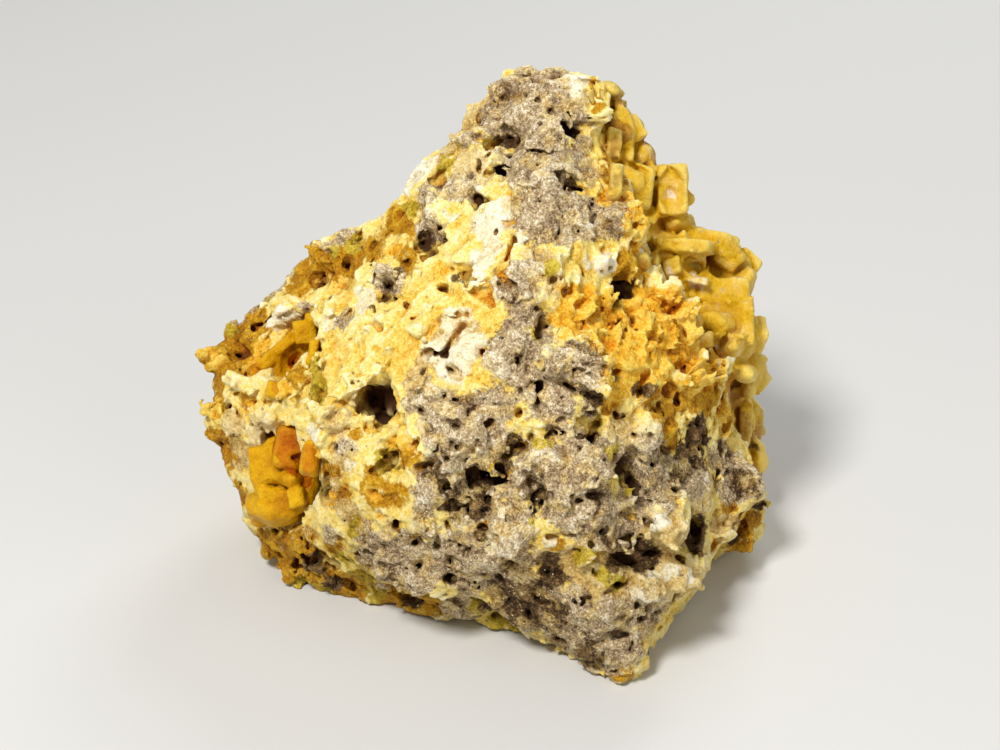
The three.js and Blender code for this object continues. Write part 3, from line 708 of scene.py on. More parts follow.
def hollow_out(field, holes, rough):
    """Carves each listed hole: a shallow bowl, a deeper core, and pockets at its sides."""
    rng = np.random.default_rng(9)
    for u, v, across, along, depth, turn in holes:
        centre = at_surface(field, on_rock(u, v))
        half = np.array((across, along)) * PX
        depth = min(depth, 1 + SQUAT * half.min())
        for wide, deep, blend in (BOWL, CORE):
            size = (*wide * half, deep * depth)
            carve(field, egg, centre, size, view_axes(turn), blend=blend, rough=rough)
        carve_pockets(field, centre, half, depth, turn, rough, rng)


# ---- Kinds of rock ----

ZONE_PITCH = 1.5
ZONE_EDGE = 0.16  # half the width, in scores, over which one kind's shape gives way to the next
COLOUR_EDGE = 0.45  # and half the width of the band in which their colours are ragged
ZONE_REACH = 0.4  # patches reach farther along the camera's line of sight, by one over this
ZONE_MARGIN = 8  # mm that the lattice of kinds goes beyond the CAD box
PATCH_SPREAD = 1.15  # a patch ends at this many of its radii
BEHIND = (4, 18)  # mm along Y over which the back's own pattern takes over from the front's
BEHIND_SIZE = 15  # the size in mm of the back's patches
BEHIND_COMMON, BEHIND_RARE = 0.2, 0.45  # how far its noise has to rise for a common or a rare kind
COMMON_KINDS = ("grey", "cream")
BORDER_WANDER = (1.6, 5, 11)  # how far a patch's border wanders in mm, the waves' length and the seed
BORDER_GRAIN = ((0.28, 2.2, 23, 2),)  # and the finer noise on it, as waves takes it


def front_score(points, patches):
    """1 in the middle of the given patches, 0 at their borders and down to -1 outside."""
    score = np.full(len(points), -1, np.float32)
    for u, v, radius in patches:
        centre = on_rock(u, v)
        sight = np.array((EYE - centre).normalized(), np.float32)
        offsets = points - np.array(centre, np.float32)
        offsets -= (1 - ZONE_REACH) * (offsets @ sight)[:, None] * sight
        distance = np.linalg.norm(offsets, axis=1)
        score = np.maximum(score, 1 - distance / (PATCH_SPREAD * radius * PX))
    return score


def zone_lattice():
    """For each kind of rock, how far inside its patches each point of a coarse lattice lies."""
    low, high = np.array(CAD_BOX) / MM
    shape = np.ceil((high - low + 2 * ZONE_MARGIN) / ZONE_PITCH).astype(int)
    lattice = Field(low - ZONE_MARGIN, shape, ZONE_PITCH)
    points = (np.indices(shape).reshape(3, -1).T + lattice.low).astype(np.float32) * ZONE_PITCH
    behind = step(*BEHIND, points[:, 1])
    scores = {}
    for seed, (name, patches) in enumerate(ZONES.items(), start=40):
        rise = BEHIND_COMMON if name in COMMON_KINDS else BEHIND_RARE
        wild = 1.1 * noise(points, BEHIND_SIZE, seed, 2) - rise
        score = np.maximum(front_score(points, patches), wild * behind - (1 - behind))
        scores[name] = score.reshape(shape)
    return lattice, scores


ZONE_LATTICE, ZONE_SCORES = zone_lattice()


def zones_at(points, edge=ZONE_EDGE):
    """The share of each kind of rock, and of painted shade, at the points, from 0 to 1; what is left over is
    ochre.
    """
    moved = warped(points, *BORDER_WANDER)
    grain = waves(points, BORDER_GRAIN)
    return {
        name: step(-edge, edge, ZONE_LATTICE.sample(moved, score) + grain)
        for name, score in ZONE_SCORES.items()
    }


# ---- Matrix ----

MATRIX_PITCH = 0.4
STRINGS = np.array([0.75, 0.15, 0.64], np.float32)  # the walls of the ochre rock run this way
DRAWN = 0.55  # how far the walls are drawn out along them, from 0 to 1
SMOOTHING = 0.8  # mm over which the CAD solid's facets are evened out
ROUGHENED, CRUMBLED = 4.2, 2.6  # mm around the surface in which each step works
SWELLS = ((1.1, 11, 1, 2), (0.5, 4.5, 2, 1))  # the rock's own relief, as waves takes it
BLOCKS = ((6.5, 0.75, 15), (3.0, 0.35, 16))  # broken blocks: their size, height and seed
WALLS = ((1.2, 4.4, 3), (0.5, 2.2, 5))  # the boxwork: height, wavelength and seed
CRUMBS = ((0.32, 0.05, 1.9, 6), (0.25, 0.15, 1.05, 9))  # height, more in stone, wavelength and seed
PORES = ((1.8, 0.10, 7), (4.8, 0.05, 8))  # size, share of the rock and seed
SOUND = (511, 85, 4.0)  # a pixel, and the mm around it, where the rock is too thin for pores
FOOT_HEIGHT, FOOT_INSET = 1.0, 2.5  # the level foot's height, and its way in from the outline, in mm
PLUG = 9  # mm by which pores are held off where there are to be none
PITS = 260  # random holes all over the matrix
PIT_SIZES = (0.4, 1.3)  # radii in mm; small ones are common


def drawn(points):
    """Points moved together along the strings, so that what is measured from them is drawn out."""
    return points - DRAWN * (points @ STRINGS)[:, None] * STRINGS


def walls(points, wavelength, seed):
    """0 on thin, wandering walls and 1 between them."""
    return step(0.02, 0.26, np.abs(noise(drawn(points), wavelength, seed, 2)))


def pores(points, depth, size, share, seed):
    """Distance to irregular pores, roughly: they come in swarms and close up with depth."""
    swarm = 0.16 * noise(points, 6 * size, seed + 50, 1)
    bubble = noise(warped(points, 0.4 * size, size, seed), size, seed, 2)
    closing = 0.13 * depth / size + 0.25 * np.maximum(depth - 1.5, 0)
    return (0.62 - share - swarm + closing - bubble) * 0.7 * size


def stoniness(zone):
    """How grey and solid the rock is, from 0 in the spongy ochre to 1."""
    return np.clip(zone["grey"] + 0.6 * zone["white"] + 0.5 * zone["cream"], 0, 1)


def bareness(crust_distance):
    """0 under the crust, so that nothing pokes through it, and 1 away from it."""
    return step(0.5, 3.5, crust_distance)


def soundness(points):
    """1 where the rock is too thin for pores and 0 elsewhere."""
    u, v, reach = SOUND
    away = np.linalg.norm(points - np.array(on_rock(u, v), np.float32), axis=1)
    return step(reach, reach - 1, away)


def roughen(rock, crust_distance):
    """Broken blocks everywhere and spongy boxwork in the ochre."""
    mask, points = rock.near(ROUGHENED)
    zone = zones_at(points)
    stony = stoniness(zone)
    relief = waves(points, SWELLS)
    for size, height, seed in BLOCKS:
        _, block = cells(warped(points, 0.25 * size, 0.8 * size, seed), size, seed)
        relief += height * (0.45 + 0.55 * stony) * block
    boxwork = sum(height * walls(points, *wave) for height, *wave in WALLS) - 0.8
    patchy = step(-0.2, 0.3, noise(points, 13, 14, 1))
    relief += (1 - stony) * (0.4 + 0.45 * patchy + 0.7 * zone["orange"]) * boxwork
    rock.values[mask] += bareness(crust_distance[mask]) * relief


def crumble(rock, crust_distance):
    """Crumbs and pores on everything, the walls of the holes too."""
    mask, points = rock.near(CRUMBLED)
    stony = stoniness(zones_at(points))
    bare = bareness(crust_distance[mask])
    depth = np.maximum(-rock.values[mask], 0)
    crumbs = sum((height + more * stony) * noise(points, *wave, 1) for height, more, *wave in CRUMBS)
    level = rock.values[mask] + bare * crumbs
    plug = PLUG * np.maximum(1 - bare, soundness(points))
    for size, share, seed in PORES:
        opening = pores(points, depth, size, share + 0.05 * stony, seed)
        level = smooth_cut(level, opening + plug, 0.15)
    rock.values[mask] = level


def pit(rock, crust_distance):
    """Random holes, most of them small."""
    places, normals, rng = scatter("matrix", PITS, seed=5)
    for place, normal, shape in zip(places, normals, itertools.cycle((egg, slab))):
        radius = size_for(rng.uniform(), PIT_SIZES, 2.2)
        stretch, turn, lean = rng.uniform(1, 2.4), rng.uniform(0, math.tau), rng.uniform(-0.7, 0.7)
        index = rock.index(place)
        if crust_distance[index] < 0.5 or place[2] < FOOT_HEIGHT:
            continue
        centre = place - normal * (rock.values[index] + 0.2 * radius)
        half = (radius * stretch, radius, 1.3 * radius)
        carve(rock, shape, centre, half, axes_of(normal, turn, lean), blend=0.2, rough=1.0)


def flatten_base(field, foot=None):
    """Nothing reaches below the plane that the specimen rests on, and its foot stays level.

    The foot is given as the distances to the solid that it follows.
    """
    heights = ((np.arange(field.values.shape[2]) + field.low[2]) * field.pitch).astype(np.float32)
    if foot is not None:
        level = np.maximum(foot + FOOT_INSET, heights - FOOT_HEIGHT)
        field.values = np.minimum(field.values, level)
    field.values = np.maximum(field.values, -heights)


def sculpt_matrix():
    rock = Field.around("matrix", MATRIX_PITCH)
    crust_distance = rock.distance_to("pseudomorph_crust")
    rock.values = rock.blurred(SMOOTHING)
    add_features(rock, LUMPS, blend=0.4, rough=0.4)
    roughen(rock, crust_distance)
    hollow_out(rock, HOLES, rough=0.8)
    pit(rock, crust_distance)
    crumble(rock, crust_distance)
    flatten_base(rock, rock.distance_to("matrix"))
    return rock


GRAINS = 2000  # tiny bright crystals strewn over the matrix
GRAIN_SIZES = (0.14, 0.34)  # half sizes in mm
GRAIN_TIPS = np.array([(1, 0, 0), (-1, 0, 0), (0, 0.8, 0), (0, -0.8, 0), (0, 0, 0.9), (0, 0, -0.9)])
LANDED = 0.15  # mm from the rock's surface within which a grain counts as lying on it
LANDINGS = 5  # how often a grain moves to where it takes the surface to be


def octahedron_faces():
    """A triangle from each pair of opposite tips, all facing out."""
    corners = itertools.product((0, 1), (2, 3), (4, 5))
    return np.array([(a, b, c) if (a + b + c) % 2 == 0 else (a, c, b) for a, b, c in corners])


def grain_places(rock, rng, places, normals):
    """Where grains lie on the bare rock, most of them on the grey."""
    for _ in range(LANDINGS):
        places = places - normals * rock.sample(places)[:, None]
    crust_distance = rock.sample(places, rock.distance_to("pseudomorph_crust"))
    bare = (np.abs(rock.sample(places)) < LANDED) & (crust_distance > 1)
    zone = zones_at(places)
    likely = 0.12 + 0.88 * np.maximum(zone["grey"], 0.6 * zone["white"])
    chosen = bare & (rng.uniform(size=len(places)) < likely) & (places[:, 2] > FOOT_HEIGHT)
    return places[chosen][:GRAINS]


def strew_grains(rock):
    """The corners and triangles of tiny eight-sided crystals on the matrix, each turned at random."""
    places, normals, rng = scatter("matrix", 3 * GRAINS, seed=77)
    places = grain_places(rock, rng, places, normals)
    sizes = size_for(rng.uniform(size=(len(places), 1, 1)), GRAIN_SIZES, 1.5)
    turns = np.linalg.qr(rng.normal(size=(len(places), 3, 3)))[0]
    corners = places[:, None] + (GRAIN_TIPS @ turns) * sizes
    faces = octahedron_faces()
    turned_over = np.linalg.det(turns) < 0
    triangles = np.where(turned_over[:, None, None], faces[None, :, ::-1], faces[None])
    triangles = triangles + len(GRAIN_TIPS) * np.arange(len(places))[:, None, None]
    return corners.reshape(-1, 3), triangles.reshape(-1, 3)


# ---- Crust and vugs ----

CRUST_PITCH = 0.45
CRUST_INSET = 0.5  # mm that the bare crust is drawn in, to leave room for its crystals
CRUST_SMOOTHING = 0.4  # mm over which the facets of the crust and the vugs are evened out
WAXED = 2.5  # mm around the surface in which it gets its waxy relief
SMALL_CRYSTALS, VUG_CRYSTALS = 520, 40
SMALL_CRYSTAL_SIZES, VUG_CRYSTAL_SIZES = (1.2, 3.8), (0.8, 2.4)
TILT = 0.9  # the most that a small crystal leans, in radians
GROWTH_HEIGHTS = (4, 84)  # mm over the table between which small crystals grow
GROWTH_GAP = 0.8  # mm that they keep from the matrix
IN_VIEW = -0.5  # surfaces turned to the camera by more than this carry the hand-placed crystals
SMALL_IN_VIEW = 2.2  # and only smaller random ones, in mm


def grow(field, node, count, sizes, seed):
    """Small waxy crystals all over a CAD node, half of them blocks and half plates."""
    places, normals, rng = scatter(node, count, seed)
    matrix_distance = field.distance_to("matrix")
    lowest, highest = GROWTH_HEIGHTS
    for place, normal, shape in zip(places, normals, itertools.cycle((crystal, slab))):
        size = size_for(rng.uniform(), sizes, 1.4)
        thin = rng.uniform(0.3, 0.9)
        half = size * np.array([rng.uniform(0.7, 1.1), thin, rng.uniform(0.6, 0.9)])
        axes = axes_of(normal, rng.uniform(0, math.tau), rng.uniform(-TILT, TILT))
        in_view = normal @ np.array(VIEW_BACK) > IN_VIEW
        clear = matrix_distance[field.index(place)] >= GROWTH_GAP and lowest < place[2] < highest
        if clear and not (in_view and size > SMALL_IN_VIEW):
            sunk = place - normal * (CRUST_INSET + 0.5 * size)
            add(field, shape, sunk, half, axes, blend=0.15, rough=0.15)


def wax(field, amount):
    """The slight swellings and fine grains of a waxy surface."""
    mask, points = field.near(WAXED)
    swell, _ = cells(points, 1.7, 8)
    relief = noise(points, 3, 9, 2) + 1.2 * (swell - 0.5) + 0.7 * noise(points, 1.1, 12, 1)
    field.values[mask] += amount * relief


SEAT = 0.6  # mm on both sides of the matrix's surface that a crust fills, and how far it spreads there


def seat(field):
    """Closes the gap between a crust and the matrix it grew on."""
    filling = np.maximum(np.abs(field.distance_to("matrix")), field.values) - SEAT
    field.values = np.minimum(field.values, filling)


def sculpt_crust():
    crust = Field.around("pseudomorph_crust", CRUST_PITCH)
    crust.values = crust.blurred(CRUST_SMOOTHING) + CRUST_INSET
    seat(crust)
    add_features(crust, CRYSTALS, blend=0.3, rough=0.2)
    grow(crust, "pseudomorph_crust", SMALL_CRYSTALS, SMALL_CRYSTAL_SIZES, seed=21)
    hollow_out(crust, CRYSTAL_HOLES, rough=0.3)
    wax(crust, amount=0.14)
    flatten_base(crust)
    return crust


VUG_PITCH = 0.4
RIM = 1.2  # how far below the rock's face a vug's lining ends, in mm
FACE_BLUR = 3.2  # mm over which the rock's face is evened out for that


def sculpt_vug(node, lumps, holes, seed):
    vug = Field.around(node, VUG_PITCH, margin=8)
    rock_face = Field(vug.low * vug.pitch, vug.values.shape, vug.pitch)
    rock_face.values = vug.distance_to("matrix")
    vug.values = vug.blurred(CRUST_SMOOTHING)
    seat(vug)
    vug.values = np.maximum(vug.values, rock_face.blurred(FACE_BLUR) + RIM)
    add_features(vug, lumps, blend=0.25, rough=0.12)
    grow(vug, node, VUG_CRYSTALS, VUG_CRYSTAL_SIZES, seed)
    hollow_out(vug, holes, rough=0.3)
    wax(vug, amount=0.12)
    return vug


# ---- Meshes ----

MOST_TRIANGLES = 165_000
CRUMB_SHARE = 0.05  # loose bodies with fewer of the corners than this share are dropped
ROCK_CUT = (0.0, -6.0)  # where upright planes part the rock, in mm


def mesh_object(name, corners, faces):
    """An object in the scene with a mesh, whose corners are given in mm."""
    mesh = bpy.data.meshes.new(name)
    mesh.from_pydata(corners * MM, [], faces.tolist())
    thing = bpy.data.objects.new(name, mesh)
    bpy.context.collection.objects.link(thing)
    return thing


def bodies(count, triangles):
    """For each of the corners, the lowest number of a corner that it hangs together with."""
    body = np.arange(count)
    while True:
        lowest = body[triangles].min(axis=1)
        joined = body.copy()
        for corner in triangles.T:
            np.minimum.at(joined, corner, lowest)
        joined = joined[joined]
        if (joined == body).all():
            return body
        body = joined


def main_body(corners, triangles, edges):
    """The triangles without loose crumbs: small bodies that don't reach the edges given."""
    body = bodies(len(corners), triangles)
    size = np.bincount(body, minlength=len(corners))
    keeps = size > CRUMB_SHARE * len(corners)
    low, high = edges
    outside = (corners[:, :2] < low).any(axis=1) | (corners[:, :2] > high).any(axis=1)
    keeps[body[outside]] = True
    return triangles[keeps[body[triangles[:, 0]]]]


def thinned(piece, share):
    """The piece's mesh with about that share of its triangles, flat places thinned first."""
    thin = piece.modifiers.new("thin", "DECIMATE")
    thin.ratio = share
    done = piece.evaluated_get(bpy.context.evaluated_depsgraph_get())
    mesh = bpy.data.meshes.new_from_object(done)
    piece.modifiers.clear()
    return mesh


def relief_maps(field):
    """What a material reads of the relief: ridges above 0 and furrows below, from fine to broad."""
    return {
        "ridge": field.blurred(radius=0.8),
        "height": field.blurred(radius=2.6, coarser=2),
        "depth": -field.blurred(radius=4.5, coarser=3),
    }


def add_attributes(mesh, maps, whole):
    """Stores at each corner what the materials read: the relief and the kinds of rock."""
    places = corners_of(mesh)
    attributes = {name: whole.sample(places, values) for name, values in maps.items()}
    attributes.update(zones_at(places, COLOUR_EDGE))
    for name, values in attributes.items():
        data = mesh.attributes.new(name, "FLOAT", "POINT").data
        data.foreach_set("value", values.astype(np.float32))


def make_piece(name, field, maps, whole, material, node):
    """Meshes a field, thins it to the limit, and puts it in place of its CAD node."""
    corners, triangles = field.mesh()
    triangles = main_body(corners, triangles, field.inner_edges())
    piece = mesh_object(name, corners, triangles)
    piece.data.validate()
    if len(triangles) > MOST_TRIANGLES:
        piece.data = thinned(piece, MOST_TRIANGLES / len(triangles))
    piece.data.shade_smooth()
    add_attributes(piece.data, maps, whole)
    piece.data.materials.append(material)
    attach(piece, "root")
    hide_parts(node)
    print(f"{name}: {len(triangles)} triangles, thinned to {len(piece.data.polygons)}")


def make_grains(rock):
    grains = mesh_object("sparkling_grains", *strew_grains(rock))
    grains.data.materials.append(grain_material())
    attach(grains, "root")


def make_rock():
    """The matrix, meshed in quarters, since as one mesh it would have more triangles than MOST_TRIANGLES."""
    rock = sculpt_matrix()
    maps, material = relief_maps(rock), matrix_material()
    names = ("front_left", "front_right", "back_left", "back_right")
    for name, part in zip(names, rock.parted(*ROCK_CUT)):
        make_piece(f"porous_rock_{name}", part, maps, rock, material, "matrix")
    make_grains(rock)


def make_crystals(name, field, node, material):
    make_piece(name, field, relief_maps(field), field, material, node)


# ---- Materials ----
# Colour stops are a place from 0 (dark) to 1 (light), and red, green and blue from 0 to 255. The first
# kind of each table is the ground that the others lie on.
CREAM = ((0.30, 150, 114, 56), (0.40, 188, 152, 84), (0.50, 216, 186, 114), (0.66, 242, 226, 174))
ROCK_COLOURS = {
    "ochre": ((0.28, 196, 138, 30), (0.38, 230, 186, 66), (0.47, 244, 214, 106), (0.57, 250, 232, 154),
              (0.70, 252, 244, 210)),
    "cream": CREAM,
    "gold": ((0.30, 108, 64, 2), (0.42, 162, 107, 6), (0.52, 190, 136, 12), (0.63, 212, 168, 38),
             (0.75, 238, 208, 104)),
    "grey": ((0.28, 90, 70, 48), (0.39, 138, 114, 84), (0.47, 167, 143, 108), (0.57, 196, 174, 135),
             (0.71, 242, 232, 206)),
    "orange": ((0.30, 160, 88, 4), (0.40, 212, 144, 18), (0.50, 234, 180, 44), (0.68, 252, 224, 112)),
    "olive": ((0.32, 116, 90, 10), (0.48, 180, 150, 28), (0.66, 216, 194, 78)),
    "white": ((0.32, 208, 178, 110), (0.48, 240, 228, 188), (0.64, 252, 248, 232)),
    # painted shade: the colours of the dark patches
    "painted_shade": ((0.32, 44, 28, 12), (0.48, 84, 60, 32), (0.68, 150, 120, 74)),
}
OCHRE_SHADE, STONE_SHADE = (234, 186, 100), (186, 156, 114)  # painted shade: what furrows are multiplied by
DEEP_SHADE, LOW_SHADE = (70, 40, 16), (170, 158, 138)  # painted shade for the deepest places, and painted shade for the lower part
GRAIN_COLOURS = ((0.4, 180, 156, 112), (0.55, 212, 194, 152))
CRUST_COLOURS = {
    "yellow": ((0.34, 186, 132, 8), (0.42, 208, 162, 18), (0.50, 220, 180, 40), (0.57, 222, 184, 84),
               (0.66, 240, 216, 138)),
    "orange": ((0.36, 180, 104, 12), (0.50, 212, 146, 40), (0.64, 228, 186, 96)),
    "gold": ((0.36, 140, 90, 14), (0.50, 176, 126, 34), (0.64, 204, 164, 84)),
    "white": ((0.36, 222, 190, 140), (0.55, 244, 230, 206)),
    # painted shade on the crust
    "painted_shade": ((0.36, 70, 44, 16), (0.55, 120, 86, 36)),
}
AMBER_COLOURS = {
    "amber": ((0.34, 180, 118, 0), (0.48, 206, 150, 2), (0.62, 224, 176, 16)),
    "orange": ((0.36, 150, 62, 0), (0.48, 180, 92, 0), (0.60, 200, 122, 0)),
}


def srgb(red, green, blue):
    """A colour given from 0 to 255 as it looks, as the linear values that a shader takes."""
    parts = [c / 255 for c in (red, green, blue)]
    return (*[c / 12.92 if c < 0.04 else ((c + 0.055) / 1.055) ** 2.4 for c in parts], 1)


class Nodes:
    """A material's node tree, built from the surface backwards."""

    def __init__(self, name):
        self.material = bpy.data.materials.new(name)
        self.material.use_nodes = True
        self.tree = self.material.node_tree
        self.shader = self.tree.nodes["Principled BSDF"]
        self.place = self.new("ShaderNodeTexCoord").outputs["Object"]

    def new(self, kind, **settings):
        node = self.tree.nodes.new(kind)
        for key, value in settings.items():
            setattr(node, key, value)
        return node

    def feed(self, socket, value):
        if isinstance(value, bpy.types.NodeSocket):
            self.tree.links.new(value, socket)
        else:
            socket.default_value = value

    def attribute(self, name):
        return self.new("ShaderNodeAttribute", attribute_name=name).outputs["Fac"]

    @functools.cached_property
    def fray(self):
        """How far the borders between the kinds of rock wander, in shares of a kind."""
        fine = self.span(self.noise(1.3), 0.3, 0.7, -0.35, 0.35)
        return self.math("ADD", fine, self.span(self.noise(5, 2), 0.35, 0.65, -0.2, 0.2))

    def zone(self, name):
        """A kind's share of the colour, with a border that frays more finely than the mesh."""
        return self.span(self.math("ADD", self.attribute(name), self.fray), 0.35, 0.65)

    def texture(self, kind, size_mm):
        node = self.new(kind)
        self.feed(node.inputs["Vector"], self.place)
        node.inputs["Scale"].default_value = 1 / (size_mm * MM)
        return node

    def noise(self, size_mm, detail=4.0):
        node = self.texture("ShaderNodeTexNoise", size_mm)
        node.inputs["Detail"].default_value = detail
        node.inputs["Roughness"].default_value = 0.6
        return node.outputs["Fac"]

    def height_mm(self):
        """How high over the table a point is, in mm."""
        separated = self.new("ShaderNodeSeparateXYZ")
        self.feed(separated.inputs["Vector"], self.place)
        return self.math("MULTIPLY", separated.outputs["Z"], 1 / MM)

    def grains(self, size_mm):
        """Cells of about the size, each as light as chance has it."""
        return self.texture("ShaderNodeTexVoronoi", size_mm).outputs["Color"]

    def relief(self, weight):
        """Ridges above 0 and furrows below, to which the broad ones add by the weight."""
        broad = self.math("MULTIPLY", self.attribute("height"), weight)
        return self.math("ADD", self.attribute("ridge"), broad)

    def span(self, value, low, high, to_low=0.0, to_high=1.0):
        """The value's way from low to high, mapped to another range and held at its ends."""
        node = self.new("ShaderNodeMapRange")
        for key, number in zip(("From Min", "From Max", "To Min", "To Max"), (low, high, to_low, to_high)):
            node.inputs[key].default_value = number
        self.feed(node.inputs["Value"], value)
        return node.outputs["Result"]

    def math(self, operation, a, b):
        node = self.new("ShaderNodeMath", operation=operation)
        self.feed(node.inputs[0], a)
        self.feed(node.inputs[1], b)
        return node.outputs[0]

    def blend(self, a, b, share):
        """The sum of two values, the first times its share and the second times what is left of 1."""
        parts = [self.math("MULTIPLY", a, share), self.math("MULTIPLY", b, 1 - share)]
        return self.math("ADD", *parts)

    def ramp(self, value, stops):
        """Colours at places from 0 to 1 along a value."""
        node = self.new("ShaderNodeValToRGB")
        elements = node.color_ramp.elements
        while len(elements) < len(stops):
            elements.new(0.5)
        for element, (position, *colour) in zip(elements, stops):
            element.position, element.color = position, srgb(*colour)
        self.feed(node.inputs["Fac"], value)
        return node.outputs["Color"]

    def kinds(self, value, colours):
        """The colours of each kind of rock where it is; the first of them are the ground."""
        (_, ground), *others = colours.items()
        colour = self.ramp(value, ground)
        for name, stops in others:
            colour = self.mix(self.zone(name), colour, self.ramp(value, stops))
        return colour

    def mix(self, share, a, b, blend="MIX"):
        node = self.new("ShaderNodeMix", data_type="RGBA", blend_type=blend)
        self.feed(node.inputs["Factor"], share)
        self.feed(node.inputs["A"], a)
        self.feed(node.inputs["B"], b)
        return node.outputs["Result"]

    def bump(self, height, distance_mm, strength, normal=None):
        node = self.new("ShaderNodeBump")
        node.inputs["Distance"].default_value = distance_mm * MM
        node.inputs["Strength"].default_value = strength
        self.feed(node.inputs["Height"], height)
        if normal is not None:
            self.feed(node.inputs["Normal"], normal)
        return node.outputs["Normal"]

    def translucent(self, radius, scatter_mm, weight):
        """Lets light through by that far, more red than blue."""
        self.shader.inputs["Subsurface Radius"].default_value = radius
        self.shader.inputs["Subsurface Scale"].default_value = scatter_mm * MM
        self.shader.inputs["Subsurface Weight"].default_value = weight

    def finish(self, **inputs):
        for name, value in inputs.items():
            self.feed(self.shader.inputs[name.replace("_", " ")], value)
        return self.material


def rock_brightness(n, relief, stony, grain, crumb):
    """Where on its colour stops the rock is: patches, ridges lighter and furrows darker (partly the rock's
    own colour, partly painted highlight and shade), and a speckle that stone has most.
    """
    patches = n.blend(n.noise(4.5), n.noise(0.6), 0.48)
    # partly painted highlight on ridges and painted shade in furrows, partly the rock's own paler ridges and
    # oranger furrows
    ridge_tint_and_light = n.span(relief, -0.8, 1.1, -0.12, 0.10)
    grains = n.math("ADD", n.math("MULTIPLY", grain, 0.14), n.math("MULTIPLY", crumb, 0.30))
    speckle = n.math("MULTIPLY", n.math("SUBTRACT", grains, 0.23), n.span(stony, 0, 1, 0.4, 1))
    return n.math("ADD", n.math("ADD", patches, ridge_tint_and_light), speckle)


def darkened(n, colour, relief, stony):
    """The rock's colour with painted shade: its furrows, its deep places and its lower part darker."""
    shade = n.mix(stony, srgb(*OCHRE_SHADE), srgb(*STONE_SHADE))
    # painted shade: furrows darker
    colour = n.mix(n.span(relief, -0.1, -0.8), colour, shade, "MULTIPLY")
    # painted shade: the deepest hollows go dark brown
    colour = n.mix(n.span(n.attribute("depth"), 0.6, 1.7), colour, srgb(*DEEP_SHADE))
    # painted shade: darker towards the bottom, where less light falls
    low_shade = n.span(n.height_mm(), 12, 50, 0.35, 0)
    return n.mix(low_shade, colour, srgb(*LOW_SHADE), "MULTIPLY")


def matrix_material():
    n = Nodes("porous_matrix")
    grain, crumb = n.grains(0.6), n.grains(0.28)
    relief, grey = n.relief(0.4), n.zone("grey")
    stony = n.math("MAXIMUM", grey, n.math("MULTIPLY", n.attribute("cream"), 0.25))
    brightness = rock_brightness(n, relief, stony, grain, crumb)
    veil = n.math("MULTIPLY", n.span(n.noise(3.2, 5), 0.50, 0.60, 0, 0.7), grey)
    colour = n.mix(veil, n.kinds(brightness, ROCK_COLOURS), n.ramp(brightness, CREAM))
    colour = darkened(n, colour, relief, stony)
    n.shader.inputs["Specular IOR Level"].default_value = 0.25
    n.translucent((1.0, 0.8, 0.5), scatter_mm=0.7, weight=0.15)
    lumpy = n.bump(n.noise(1.8, 3), distance_mm=0.7, strength=0.6)
    normal = n.bump(n.noise(0.35, 3), distance_mm=0.3, strength=0.9, normal=lumpy)
    glint = n.span(crumb, 0.82, 0.95, 0.85, 0.4)
    return n.finish(Base_Color=colour, Roughness=glint, Normal=normal)


def grain_material():
    n = Nodes("drusy_grains")
    return n.finish(Base_Color=n.ramp(n.noise(3.0), GRAIN_COLOURS), Roughness=0.35)


def waxy_material(name, colours, deep, ridge_highlight, scatter_mm):
    """Translucent smithsonite: colour by kind and patches, painted shade in furrows, a painted highlight on
    ridges, a waxy shine and a drusy bump.
    """
    n = Nodes(name)
    colour = n.kinds(n.blend(n.noise(4.0), n.noise(0.7), 0.65), colours)
    relief = n.relief(0.35)
    # painted shade: furrows go towards the deep colour
    colour = n.mix(n.span(relief, -0.02, -0.7, 0, 0.85), colour, srgb(*deep))
    # painted highlight: ridges go towards the light colour
    colour = n.mix(n.span(relief, 0.15, 0.7, 0, 0.5), colour, srgb(*ridge_highlight))
    lumpy = n.bump(n.noise(1.6, 2), distance_mm=0.6, strength=0.5)
    normal = n.bump(n.noise(0.45, 3), distance_mm=0.4, strength=0.9, normal=lumpy)
    n.translucent((1.0, 0.75, 0.2), scatter_mm, weight=0.3)
    n.shader.inputs["Specular IOR Level"].default_value = 0.35
    n.shader.inputs["Specular Tint"].default_value = (1.0, 0.8, 0.35, 1)
    gloss = n.span(n.noise(1.2), 0.3, 0.7, 0.3, 0.6)
    return n.finish(Base_Color=colour, Roughness=gloss, Normal=normal)


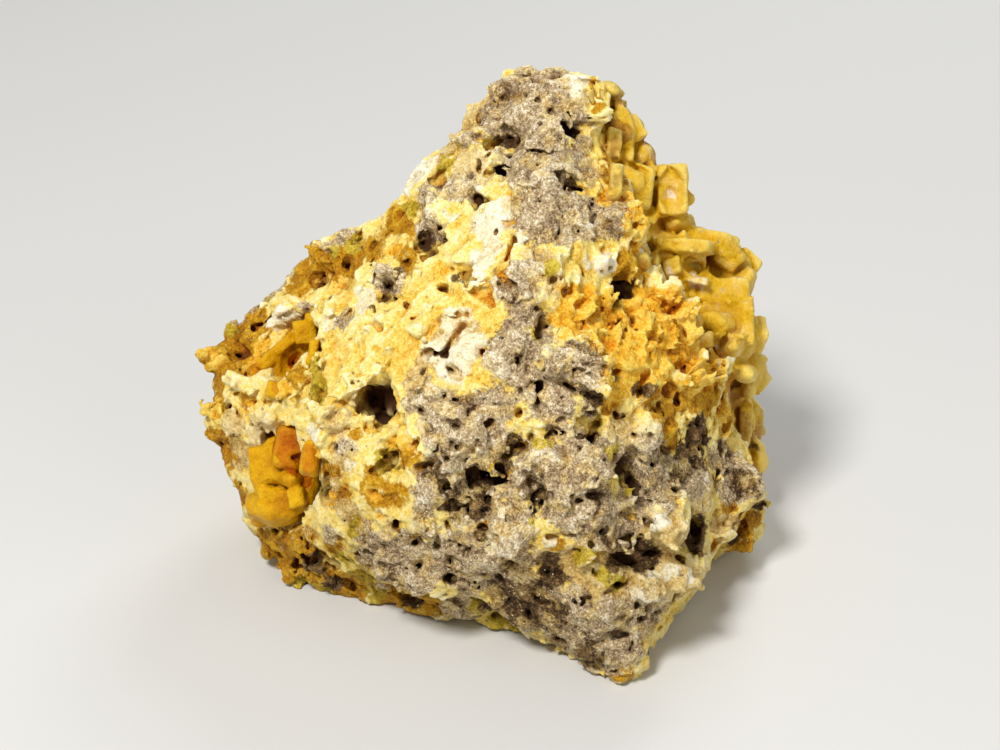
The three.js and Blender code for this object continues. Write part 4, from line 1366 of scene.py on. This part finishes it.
def crust_material():
    # the last two colours: painted shade for furrows and painted highlight for ridges
    return waxy_material("yellow_smithsonite", CRUST_COLOURS, deep=(170, 112, 12), ridge_highlight=(244, 226, 132),
                         scatter_mm=1.8)


def amber_material():
    # the last two colours: painted shade for furrows and painted highlight for ridges
    return waxy_material("amber_smithsonite", AMBER_COLOURS, deep=(124, 54, 0), ridge_highlight=(228, 178, 20),
                         scatter_mm=2.0)


# ---- Studio ----
# Name, place in metres, size in metres, power in watts and colour.
LIGHTS = (
    ("key", (-0.28, -0.55, 0.80), 0.22, 9.2, (1, 0.98, 0.95)),
    ("fill", (0.70, -0.60, 0.45), 0.8, 1.8, (1, 1, 1)),
    ("rim", (0.30, 0.70, 0.60), 0.5, 3, (1, 1, 1)),
)
WORLD_LIGHT = 0.26
FLOOR_REACH = 3000  # mm from the middle to each edge
PAPER = (214, 214, 212)


def make_lights():
    for name, place, size, power, colour in LIGHTS:
        data = bpy.data.lights.new(name, "AREA")
        data.shape, data.size, data.energy, data.color = "DISK", size, power, colour
        link_aimed(name, data, place, LOOKED_AT * MM - Vector(place))
    world = bpy.data.worlds.new("studio")
    world.use_nodes = True
    background = world.node_tree.nodes["Background"]
    background.inputs["Color"].default_value = (1, 1, 1, 1)
    background.inputs["Strength"].default_value = WORLD_LIGHT
    bpy.context.scene.world = world


def make_floor():
    corners = FLOOR_REACH * np.array([(-1, -1, 0), (1, -1, 0), (1, 1, 0), (-1, 1, 0)])
    floor = mesh_object("floor", corners, np.array([(0, 1, 2, 3)]))
    floor.data.materials.append(Nodes("paper").finish(Base_Color=srgb(*PAPER), Roughness=0.8))


# ---- Assembly ----

make_camera()
make_rock()
make_crystals("yellow_crystals", sculpt_crust(), "pseudomorph_crust", crust_material())
amber = amber_material()
vugs = {"upper": (UPPER_AMBER, UPPER_AMBER_HOLES), "lower": (LOWER_AMBER, LOWER_AMBER_HOLES)}
for seed, (name, (lumps, holes)) in enumerate(vugs.items(), start=31):
    node = f"{name}_vug_crust"
    make_crystals(f"{name}_amber", sculpt_vug(node, lumps, holes, seed), node, amber)
make_lights()
make_floor()
bpy.context.scene.view_settings.view_transform = "Standard"
